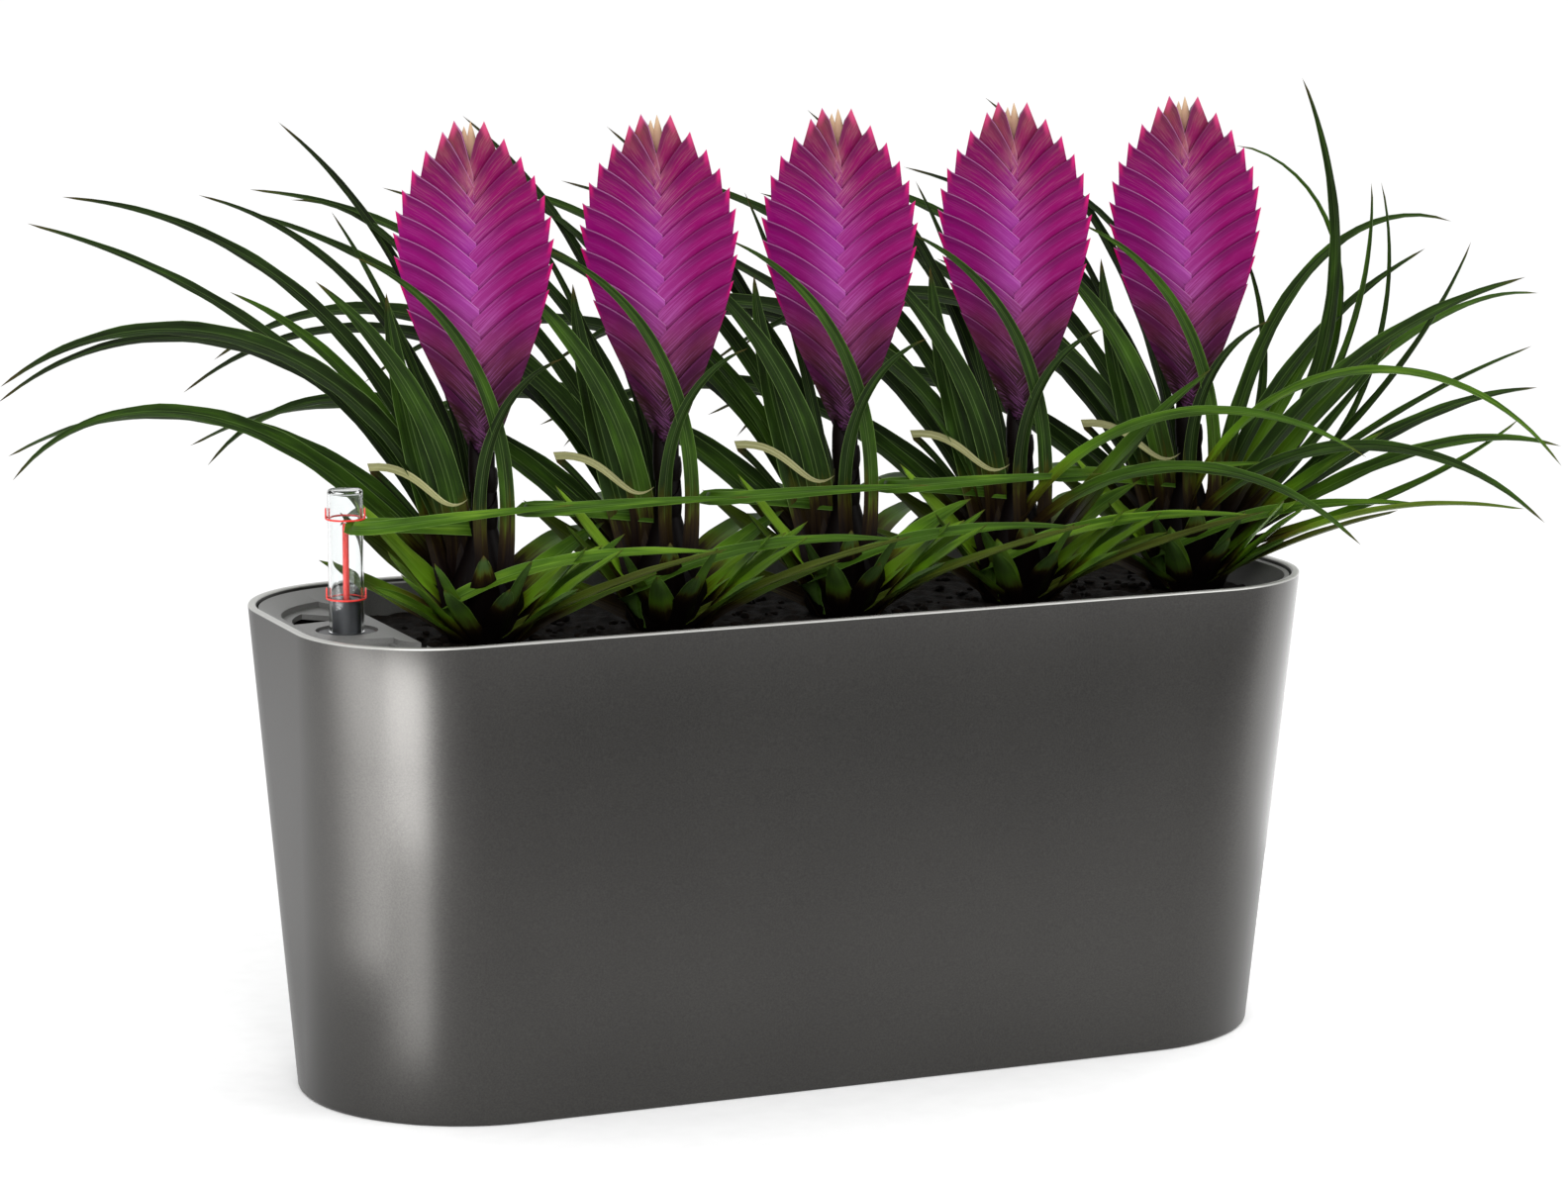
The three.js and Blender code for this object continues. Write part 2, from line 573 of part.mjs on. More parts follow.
// Whether a point is inside, or too close to, a flower head, another plant's stem, the indicator's tube or the
// planter
function blocked(point, ownX) {
  for (const x of PLANT_X) {
    const stemRoom = point.z < CLEAR.crownTop ? CLEAR.crown : CLEAR.stalk;
    const meetsStem = x !== ownX && point.z < HEAD_FOOT && Math.hypot(point.x - x, point.y) < stemRoom;
    if (meetsStem || meetsHead(point, x)) {
      return true;
    }
  }
  const besideTube = Math.hypot(point.x - INDICATOR_X, point.y) < MARK.outer + CLEAR.tube;
  if (besideTube && point.z < TUBE.top + CLEAR.tube) {
    return true;
  }
  if (point.z > HEIGHT + CLEAR_OF_PLANTER.above) {
    return false;
  }
  const beyondSide = Math.abs(point.y) > TOP.depth / 2 + CLEAR_OF_PLANTER.side;
  const beyondEnd = Math.abs(point.x) > TOP.length / 2 + CLEAR_OF_PLANTER.side;
  const { halfDepth, left, right } = OPEN_BAY;
  const overBay = Math.abs(point.y) < halfDepth && point.x > left && point.x < right;
  return !beyondSide && !beyondEnd && !(overBay && point.z > SOIL_TOP + CLEAR_OF_PLANTER.soil);
}

// Cells of space round the leaves placed so far, each with the plants that have a leaf in it or beside it
const claims = new Map();

function cell(point, dx, dy, dz) {
  const size = CELLS_A_SIDE;
  const i = Math.floor(point.x / CELL) + dx + size / 2;
  const j = Math.floor(point.y / CELL) + dy + size / 2;
  const k = Math.floor(point.z / CELL) + dz + size / 2;
  return (i * size + j) * size + k;
}

function claim(points, plant) {
  for (const point of points) {
    for (let near = 0; near < 27; near += 1) {
      const key = cell(point, (near % 3) - 1, (Math.floor(near / 3) % 3) - 1, Math.floor(near / 9) - 1);
      claims.set(key, (claims.get(key) ?? 0) | (1 << plant));
    }
  }
}

function isClear(points, plant) {
  return points.every((point) => (
    !((claims.get(cell(point, 0, 0, 0)) ?? 0) & ~(1 << plant)) && !blocked(point, PLANT_X[plant])
  ));
}

// Turns a leaf aside until it is clear of the other plants, and claims its place. A leaf with no room is
// left out.
function settled(leaf, plant) {
  for (const lift of LIFTS) {
    for (const aside of ASIDES) {
      const tried = { ...leaf, turn: leaf.turn + aside, rise: leaf.rise + lift };
      const stations = leafStations(tried, PLANT_X[plant]);
      const points = leafPoints(tried, stations);
      if (isClear(points, plant)) {
        claim(points, plant);
        return stations;
      }
    }
  }
  return null;
}

function stemBody(x) {
  const top = HEAD_FOOT - SEAT;
  return solid(turned([
    [0, STEM.foot], [STEM.radius, STEM.foot], [STEM.radius, SOIL_TOP + 0.5], [STEM.crown - 2, SOIL_TOP + 1.5],
    [STEM.crown, SOIL_TOP + 6], [STEM.crown, CROWN], [13, CROWN + 9], [8, CROWN + 20],
    [STALK_RADIUS, CROWN + 32], [STALK_RADIUS, top], [0, top],
  ], 8)).translate([x, 0, 0]);
}

function rosetteBody(plant) {
  const last = PLANT_X.length - 1;
  let leaves = LEAVES;
  if (plant === last) {
    leaves = [...END_LEAVES, ...LEAVES.filter(({ turn }) => turn < -20 || turn > 90)];
  }
  if (plant === last - 1) {
    leaves = [...BESIDE_END_LEAVES, ...LEAVES];
  }
  const stations = leaves.map((leaf) => settled(leaf, plant)).filter(Boolean);
  return joined([stemBody(PLANT_X[plant]), ...stations.map(leafBody)]);
}

// The whole part

const charcoal = new THREE.MeshStandardMaterial({ color: 0x4b4b48, roughness: 0.35, metalness: 0.6 });
const linerGrey = new THREE.MeshStandardMaterial({ color: 0x8c8c89, roughness: 0.5, metalness: 0 });
const darkGrey = new THREE.MeshStandardMaterial({ color: 0x2c2d2f, roughness: 0.5, metalness: 0 });
const clear = new THREE.MeshStandardMaterial({ color: 0xeef3f5, roughness: 0.05, metalness: 0 });
const red = new THREE.MeshStandardMaterial({ color: 0xd8322c, roughness: 0.4, metalness: 0 });
const clay = new THREE.MeshStandardMaterial({ color: 0x9a6a4a, roughness: 0.95, metalness: 0 });
const soil = new THREE.MeshStandardMaterial({ color: 0x2b1d13, roughness: 1, metalness: 0 });
const leafGreen = new THREE.MeshStandardMaterial({ color: 0x2f5a22, roughness: 0.5, metalness: 0 });
const bractPink = new THREE.MeshStandardMaterial({ color: 0xb0308f, roughness: 0.5, metalness: 0 });

const part = new THREE.Group();

function addPiece(name, geometry, material) {
  const mesh = new THREE.Mesh(geometry, material);
  mesh.name = name;
  part.add(mesh);
  return mesh;
}

addPiece('planter_shell', shellGeometry(), charcoal);
addPiece('liner', geometryOf(linerBody()), linerGrey);
addPiece('drainage_granulate', geometryOf(granulateBody()), clay);
addPiece('substrate', geometryOf(soilBody()), soil);
addPiece('indicator_housing', housingGeometry(), darkGrey);
addPiece('indicator_tube', tubeGeometry(), clear);
addPiece('indicator_lower_mark', geometryOf(markBody(LOWER_MARK)), red);
addPiece('indicator_upper_mark', geometryOf(markBody(UPPER_MARK)), red);
addPiece('indicator_float', floatGeometry(), red);

// The outer plants place their leaves first, and the ones between them follow
for (const plant of [0, 4, 3, 1, 2]) {
  addPiece(`plant_${plant + 1}_rosette`, geometryOf(rosetteBody(plant)), leafGreen);
}

const head = headGeometry();
PLANT_X.forEach((x, plant) => {
  const mesh = addPiece(`plant_${plant + 1}_flower_head`, head, bractPink);
  mesh.position.set(x, 0, HEAD_FOOT);
  mesh.rotation.set(0, degToRad(-HEAD.lean), degToRad(FACE), 'ZYX');
});

export default part;
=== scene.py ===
# Looks of a long planter with five flowering tillandsias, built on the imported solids. Lengths are in metres
# and angles in degrees. The origin is the middle of the planter's base, X runs along its length and Z is up.

import math
import random
from dataclasses import dataclass, replace

import bpy
import numpy as np
from mathutils import Matrix, Vector


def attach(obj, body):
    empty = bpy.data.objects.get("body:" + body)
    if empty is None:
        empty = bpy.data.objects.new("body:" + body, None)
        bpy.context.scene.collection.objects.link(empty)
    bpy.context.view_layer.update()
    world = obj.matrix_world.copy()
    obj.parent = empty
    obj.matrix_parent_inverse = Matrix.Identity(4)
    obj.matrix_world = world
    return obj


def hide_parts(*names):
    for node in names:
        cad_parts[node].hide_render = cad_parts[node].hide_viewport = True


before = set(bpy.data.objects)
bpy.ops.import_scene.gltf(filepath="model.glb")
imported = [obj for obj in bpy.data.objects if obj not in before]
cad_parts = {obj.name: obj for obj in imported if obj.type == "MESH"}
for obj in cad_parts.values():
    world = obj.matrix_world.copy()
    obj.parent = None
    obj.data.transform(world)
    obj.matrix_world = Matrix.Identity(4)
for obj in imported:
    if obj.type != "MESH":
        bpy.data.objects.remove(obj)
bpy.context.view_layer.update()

# Planter shell: tapered, with round ends
HEIGHT = 0.18
TOP_LENGTH, TOP_DEPTH, TOP_CORNER = 0.402, 0.152, 0.051
FOOT_LENGTH, FOOT_DEPTH, FOOT_CORNER = 0.383, 0.128, 0.063
WALL = 0.003
FLOOR = 0.004
FOOT_ROUND = 0.0015
RIM_ROUND = 0.0008
FLOOR_ROUND = 0.004
CORNER_STEPS = 20
SEAT = 0.0003

# Liner with its plate at the left end
LINER_GAP = 0.0008
LINER_WALL = 0.0018
TUB_INSET = WALL + LINER_GAP + LINER_WALL
LINER_TOP = HEIGHT - 0.0015
LINER_FLOOR = 0.042
LINER_BOTTOM = LINER_FLOOR - 0.0022
COLLAR_FOOT, COLLAR_TOP = 0.009, 0.001
PLATE_TOP = HEIGHT - 0.005
PLATE_THICKNESS = 0.004
BAY_LEFT = -0.157
BAY_CORNER = 0.026
SLOT_CENTRE = (-0.15, 0.024)
SLOT_RADII, SLOT_ANGLES = (0.015, 0.035), (136, 184)
RECESS_RADII, RECESS_ANGLES = (0.013, 0.039), (112, 190)
RECESS_DEPTH = 0.002
FOOT_PLACES = (-0.13, 0, 0.13)
LINER_FOOT_Y = 0.034
LINER_FOOT_RADII = (0.011, 0.015)

# How far a tool reaches past the faces that it cuts or joins
PAST = 0.001

# Water-level indicator
INDICATOR_X = -0.1735
HOLE_RADIUS = 0.0115
PIPE_RADIUS, PIPE_BORE, PIPE_BORE_TOP, PIPE_GUIDE = 0.0109, 0.0082, 0.15, 0.002
SLEEVE_RADIUS, SLEEVE_TOP = 0.0053, PLATE_TOP + 0.0115
TUBE_OUTER, TUBE_INNER, TUBE_TOP = 0.0065, 0.0056, PLATE_TOP + 0.052
MARK_INNER, MARK_OUTER, MARK_HEIGHT, MARK_EDGE = 0.00685, 0.0074, 0.0007, 0.0002
TICK_HEIGHT, TICK_HALF_WIDTH = 0.0042, 0.0008
LOWER_MARK, UPPER_MARK = PLATE_TOP + 0.0115, PLATE_TOP + 0.041
ROD_RADIUS, ROD_TOP, ROD_EDGE = 0.00115, PLATE_TOP + 0.0395, 0.0003
FLOAT_RADIUS, FLOAT_FOOT, FLOAT_HEIGHT, FLOAT_EDGE = 0.0076, 0.035, 0.009, 0.001

# Soil
SOIL_TOP = 0.166
SOIL_INSET = 0.0016
SOIL_SPACING = 0.003
SOIL_LIFT, SOIL_HILLS, SOIL_DEPTH = 0.0012, 0.0014, 0.001
CRUMBS = 420
CRUMB_SIZES = (0.0008, 0.0026)

# Stems and flower heads
PLANT_X = (-0.12, -0.047, 0.026, 0.099, 0.172)
PLANT_ORDER = (0, 4, 3, 1, 2)
FACE = -23
STEM_FOOT, STEM_RADIUS = SOIL_TOP - 0.015, 0.0084
CROWN = 0.18
STALK_RADIUS = 0.0044
SHEATHS, SHEATH_HEIGHT, SHEATH_SPACING, SHEATH_TURN = 3, 0.019, 0.0155, 137
HEAD_FOOT = 0.238
HEAD_HEIGHT, HEAD_HALF_WIDTH, HEAD_HALF_DEPTH, HEAD_LEAN = 0.122, 0.0295, 0.007, 2
WIDEST, ABOVE_WIDEST, LOW_CURVE, HIGH_CURVE = 0.63, 0.4, 1.7, 2.2
RIDGE_SWELL, RIDGE_TAPER, RIDGE_CURVE = 0.009, 0.0105, 1.7
BRACTS_A_SIDE = 11
BRACT_CROWDING, BRACT_BELOW = 0.6, 0.001
BRACT_PAST, BRACT_LEAST_OUT, BRACT_ARCH = 0.0014, 0.005, 0.009
BRACT_DROP, FULL_DROP_HEIGHT, BRACT_UNDER = 0.02, 0.03, 0.004
TOOTH_START, FULL_TOOTH_NUMBER = 0.84, 5
TOOTH_OUT, TOOTH_MORE_OUT = 0.0008, 0.0018
TOOTH_UP, TOOTH_TOP_UP = 0.0006, 0.003

# How far from its foot a leaf is dark: less on one shorter than the first length, and none past the second
FULL_FOOT_LENGTH = 0.11
NO_DARK_FOOT = 0.09

# Rule that shapes and places the leaves, the same as in the solids
FOOT_SPREAD, FOOT_SHARE = 0.2, 0.2
KEEL_LEAST, KEEL_SHARE = 0.0007, 0.14
MORE_SEGMENTS_FROM = (0.07, 0.11, 0.2, 0.22)
STEPS_A_SEGMENT = 7
FACING = 0.6
CLEAR_HEAD, CLEAR_FACE, CLEAR_TUBE = 0.003, 0.0022, 0.002
CLEAR_CROWN, CLEAR_CROWN_TOP, CLEAR_STALK = 0.019, 0.203, 0.0075
CLEAR_SIDE, CLEAR_ABOVE, CLEAR_SOIL = 0.003, 0.002, 0.001
BAY_HALF_DEPTH, BAY_RIGHT = 0.064, 0.184
CELL = 0.002
CELLS_A_SIDE = 1024
POINT_SPACING = 0.0025
WIDE_LEAF = 0.008
LIFTS = (0, 5, -5, 10, -10)
ASIDES = (0, 3, -3, 6, -6, 9, -9, 12, -12, 16, -16, 20, -20)


@dataclass
class Leaf:
    """turn is the way that a leaf goes from +X towards +Y. It climbs at rise and ends at fall, bending late
    where ease is high, and sweep turns it sideways, all at once where it has a hook. root and out place its
    foot round the stem, up lifts the foot, and face turns its upper side to the front. light runs from deep
    to bright green, dry from fresh to brown, and dark tells how much of the foot is dark."""
    turn: float
    rise: float
    fall: float
    length: float
    width: float
    ease: float = 1
    sweep: float = 0
    hook: float = 0
    root: float = None
    out: float = 0.006
    up: float = 0
    face: float = FACING
    light: float = 0.3
    dry: float = 0
    dark: float = 1


LEAVES = [
    Leaf(185, 98, 20, 0.155, 0.006, ease=1.5, sweep=-15, root=-83, out=0.013, face=3, light=0.32),
    Leaf(140, 73, 86, 0.12, 0.013, ease=3, root=200, out=0.01, face=2, light=0.3),
    Leaf(158, 97, 39, 0.138, 0.011, ease=0.9, root=180, out=0.01, face=2, light=0.3),
    Leaf(-30, 96, 17, 0.106, 0.006, ease=2.2, sweep=10, root=-105, out=0.013, face=2, light=0.2),
    Leaf(170, 6, 0, 0.15, 0.006, sweep=180, hook=0.38, out=0.003, up=0.03, face=2, light=0.56, dark=0),
    Leaf(200, 66, -6, 0.128, 0.008, ease=0.4, sweep=142, hook=0.14, out=0.012, up=-0.01, light=0.6, dark=0),
    Leaf(-46, 29, 15, 0.098, 0.006, root=-80, out=0.013, up=-0.008, light=0.45, dry=0.35, dark=0.3),
    Leaf(142, 73, 14, 0.224, 0.009, ease=0.8, sweep=20, light=0.2),
    Leaf(130, 78, 2, 0.234, 0.009, ease=1.1, sweep=20, light=0.22),
    Leaf(125, 83, 8, 0.205, 0.007, ease=1.2, sweep=10, root=67, out=0.012, light=0.12),
    Leaf(130, 90, -10, 0.19, 0.006, ease=2.1, root=67, out=0.012, light=0.18),
    Leaf(130, 86, 32, 0.203, 0.007, ease=1.3, root=67, out=0.012, light=0.1),
    Leaf(130, 72, 15, 0.158, 0.009, ease=1.2, light=0.42),
    Leaf(124, 72, -42, 0.243, 0.01, ease=1.1, sweep=28, light=0.14),
    Leaf(162, 79, -41, 0.23, 0.013, ease=1.2, light=0.26),
    Leaf(138, 67, -29, 0.234, 0.009, ease=0.7, sweep=-16, light=0.25),
    Leaf(148, 48, -57, 0.205, 0.011, ease=1.9, sweep=4, light=0.3),
    Leaf(118, 80, 45, 0.16, 0.005, ease=1.1, light=0.2),
    Leaf(250, 66, 60, 0.038, 0.014, out=0.012, up=-0.01, light=0.25, dark=1.6),
    Leaf(222, 58, 40, 0.042, 0.012, out=0.011, up=-0.01, light=0.45, dark=1.2),
    Leaf(276, 60, 36, 0.044, 0.012, out=0.011, up=-0.01, light=0.4, dark=1.2),
    Leaf(306, 52, 40, 0.05, 0.011, out=0.011, up=-0.01, light=0.75),
    Leaf(333, 44, 40, 0.058, 0.01, root=300, out=0.012, up=-0.01, light=0.65, dark=0.8),
    Leaf(200, 48, 44, 0.05, 0.011, out=0.011, up=-0.01, light=0.55, dry=0.15),
    Leaf(-42, 44, 30, 0.052, 0.012, up=-0.006, light=0.85, dark=0.8),
    Leaf(-15, 38, 25, 0.05, 0.012, up=-0.006, light=0.65, dry=0.2),
    Leaf(10, 46, 20, 0.056, 0.012, up=-0.004, light=0.6),
    Leaf(170, 46, 50, 0.062, 0.013, up=-0.004, light=0.95, dark=0.8),
    Leaf(148, 40, 35, 0.062, 0.013, up=-0.004, light=0.5, dry=0.3),
    Leaf(68, 44, -32, 0.108, 0.011, light=0.5),
    Leaf(36, 40, -25, 0.092, 0.01, light=0.6),
    Leaf(100, 42, -30, 0.12, 0.011, light=0.5),
]

# More leaves that the plant at the right end and the one beside it send to the right
END_LEAVES = [
    Leaf(-10, 40, 115, 0.203, 0.009, ease=0.9, light=0.35),
    Leaf(-5, 45, 175, 0.2, 0.004, ease=1.9, light=0.4),
    Leaf(5, 75, -27, 0.186, 0.008, ease=2.7, sweep=-16, light=0.3),
    Leaf(0, 73, 26, 0.154, 0.008, ease=1.1, sweep=-10, light=0.3),
    Leaf(-30, 66, 14, 0.171, 0.012, ease=1.1, light=0.35),
    Leaf(-14, 52, -12, 0.196, 0.006, ease=1.8, sweep=35, light=0.4),
    Leaf(-20, 38, 69, 0.162, 0.005, ease=1.5, light=0.3),
    Leaf(-20, 36, -4, 0.16, 0.009, ease=1.8, sweep=30, light=0.35),
    Leaf(-23, 40, 20, 0.152, 0.005, ease=1.7, light=0.4),
    Leaf(-45, 84, -55, 0.205, 0.007, root=220, out=0.012, light=0.6),
    Leaf(-36, 32, -19, 0.15, 0.01, ease=2.6, sweep=3, light=0.45),
    Leaf(-42, 64, -45, 0.172, 0.009, ease=0.9, root=210, out=0.012, light=0.3),
    Leaf(-50, 22, -5, 0.145, 0.005, ease=1.2, sweep=11, root=-70, out=0.014, up=-0.006, light=0.8, dry=0.3),
    Leaf(-35, 8, 42, 0.135, 0.006, ease=2.2, sweep=5, light=0.5),
    Leaf(-38, 45, 54, 0.112, 0.009, ease=0.8, sweep=5, light=0.35),
    Leaf(-5, 18, 106, 0.178, 0.004, ease=0.9, light=0.4),
    Leaf(-10, 42, 95, 0.165, 0.005, ease=1.2, light=0.35),
    Leaf(10, 50, 122, 0.13, 0.005, ease=1.2, light=0.3),
    Leaf(-20, 56, 44, 0.118, 0.013, light=0.6),
    Leaf(-2, 64, 52, 0.112, 0.012, light=0.5),
    Leaf(-45, 42, 30, 0.09, 0.012, light=0.6),
]
BESIDE_END_LEAVES = [
    Leaf(-44, 62, -45, 0.165, 0.009, ease=0.9, root=210, out=0.012, light=0.35),
    Leaf(-38, 76, -35, 0.175, 0.008, ease=0.9, root=210, out=0.014, light=0.6),
    Leaf(-30, 54, 50, 0.088, 0.012, light=0.7),
    Leaf(-20, 60, 38, 0.105, 0.012, light=0.5),
]

# Short leaves round the foot of each plant, more than the solids need
SHORT_LEAVES = [
    Leaf(-100, 38, 25, 0.048, 0.012, out=0.012, up=-0.01, light=0.3, dark=1.4),
    Leaf(-72, 36, 20, 0.05, 0.011, out=0.012, up=-0.01, light=0.55),
    Leaf(-125, 36, 25, 0.05, 0.011, out=0.012, up=-0.01, light=0.5),
    Leaf(-150, 33, 20, 0.056, 0.011, out=0.012, up=-0.01, light=0.75, dark=0.8),
    Leaf(-55, 42, 30, 0.062, 0.01, out=0.012, up=-0.01, light=0.75, dark=0.9),
    Leaf(-30, 32, 15, 0.058, 0.01, out=0.012, up=-0.01, light=0.5, dry=0.2),
    Leaf(-8, 32, 25, 0.06, 0.01, out=0.012, up=-0.008, light=0.75, dark=0.8),
    Leaf(20, 36, 20, 0.06, 0.01, out=0.012, up=-0.008, light=0.45),
    Leaf(195, 36, 20, 0.044, 0.01, out=0.012, up=-0.008, light=0.65, dark=0.8),
    Leaf(165, 30, 20, 0.056, 0.01, out=0.012, up=-0.008, light=0.5, dry=0.2),
    Leaf(215, 42, 30, 0.05, 0.01, out=0.012, up=-0.01, light=0.75, dark=0.9),
]

# A thin dry leaf that folds back in front of each plant, too thin for a solid. Its marks run to the right,
# towards the viewer and up, from the crown, and each of its two parts is a curve drawn towards its middle
# marks.
CURL_LENGTH = 0.11
CURL_WIDTH = 0.0032
CURL_STEPS = 16
CURL_RISING = (
    (-0.006, -0.002, 0.006), (-0.018, -0.004, 0.026), (-0.034, -0.002, 0.046), (-0.042, 0.004, 0.0525),
)
CURL_HANGING = (
    (-0.042, 0.004, 0.0525), (-0.02, 0.008, 0.0555), (-0.016, 0.014, 0.0325), (-0.0045, 0.018, 0.043),
)

# Camera of the photograph: its distance and angles come from the planter's rim and foot
CAMERA_PLACE = (-0.766, -1.7887, 0.5177)
CAMERA_YAW = 23.193
CAMERA_PITCH = 9.951
CAMERA_LENS = 119.84
SENSOR_WIDTH = 36

# Stage
FLOOR_SIZE = 10
WORLD_STRENGTH = 1.06
STRIP_SPREAD = 75


# Mesh helpers

def lerp(start, end, t):
    return start + (end - start) * t


def smoothstep(value, low, high):
    t = np.clip((value - low) / (high - low), 0, 1)
    return t * t * (3 - 2 * t)


class Shape:
    """Gathers closed bodies for one mesh, with a number of each name in marks for every point."""

    def __init__(self, *marks):
        self.points = []
        self.faces = []
        self.marks = {name: [] for name in marks}
        self.count = 0

    def add(self, points, faces, **marks):
        points = np.asarray(points, float)
        self.points.append(points)
        self.faces.extend([self.count + corner for corner in face] for face in faces)
        for name, values in self.marks.items():
            values.append(np.broadcast_to(marks.get(name, 0.0), (len(points),)))
        self.count += len(points)

    def made(self, name, material, sharp=40):
        mesh = bpy.data.meshes.new(name)
        mesh.from_pydata(np.concatenate(self.points).tolist(), [], self.faces)
        for mark, values in self.marks.items():
            attribute = mesh.attributes.new(mark, "FLOAT", "POINT")
            attribute.data.foreach_set("value", np.concatenate(values).astype(np.float32))
        piece = bpy.data.objects.new(name, mesh)
        bpy.context.scene.collection.objects.link(piece)
        return finished(piece, material, sharp)


def finished(piece, material, sharp):
    """Gives a mesh its material and smooth shading, with the edges sharper than that angle kept."""
    mesh = piece.data
    mesh.materials.clear()
    mesh.materials.append(material)
    mesh.polygons.foreach_set("use_smooth", [True] * len(mesh.polygons))
    mesh.set_sharp_from_angle(angle=math.radians(sharp))
    mesh.update()
    return piece


def ring_faces(rings, count, tip=False):
    """Faces between rings of count points each, with one more point after the last for a tip."""
    faces = []
    for ring in range(rings - 1):
        for corner in range(count):
            following = (corner + 1) % count
            below = ring * count
            above = below + count
            faces.append([below + corner, below + following, above + following, above + corner])
    if tip:
        last = (rings - 1) * count
        for corner in range(count):
            faces.append([last + corner, last + (corner + 1) % count, rings * count])
    return faces


def lofted(rings):
    """A closed body through rings of points that run anticlockwise seen from its far end."""
    count = len(rings[0])
    faces = ring_faces(len(rings), count)
    faces.append(list(reversed(range(count))))
    last = (len(rings) - 1) * count
    faces.append([last + corner for corner in range(count)])
    return np.concatenate(rings), faces


def loft_shape(rings):
    shape = Shape()
    shape.add(*lofted(rings))
    return shape


def turned(profile, steps, x=0.0):
    """A profile of radius and height turned round the upright line at x. A radius of 0 ends it in a point,
    and a profile that closes on itself makes a ring."""
    angles = 2 * np.pi * np.arange(steps) / steps
    points = []
    starts = []
    closed = profile[0] == profile[-1]
    for radius, z in profile[:-1] if closed else profile:
        starts.append((len(points), radius == 0))
        for angle in angles[:1] if radius == 0 else angles:
            points.append((x + radius * math.cos(angle), radius * math.sin(angle), z))
    if closed:
        starts.append(starts[0])
    faces = []
    for (low, low_point), (high, high_point) in zip(starts, starts[1:]):
        for step in range(steps):
            following = (step + 1) % steps
            face = [low] if low_point else [low + step, low + following]
            face += [high] if high_point else [high + following, high + step]
            if len(face) > 2:
                faces.append(face)
    return points, faces


def rounded(corner_radius, corner_z, radius, start, end, steps=4):
    """Points of a profile on a small arc about a centre."""
    angles = np.radians(np.linspace(start, end, steps + 1))
    return [(corner_radius + radius * math.cos(a), corner_z + radius * math.sin(a)) for a in angles]


# Material helpers

def colour(code):
    """A six-digit screen colour as the linear numbers that shaders take."""
    parts = [int(code[place:place + 2], 16) / 255 for place in (0, 2, 4)]
    linear = [part / 12.92 if part < 0.04045 else ((part + 0.055) / 1.055) ** 2.4 for part in parts]
    return (*linear, 1)


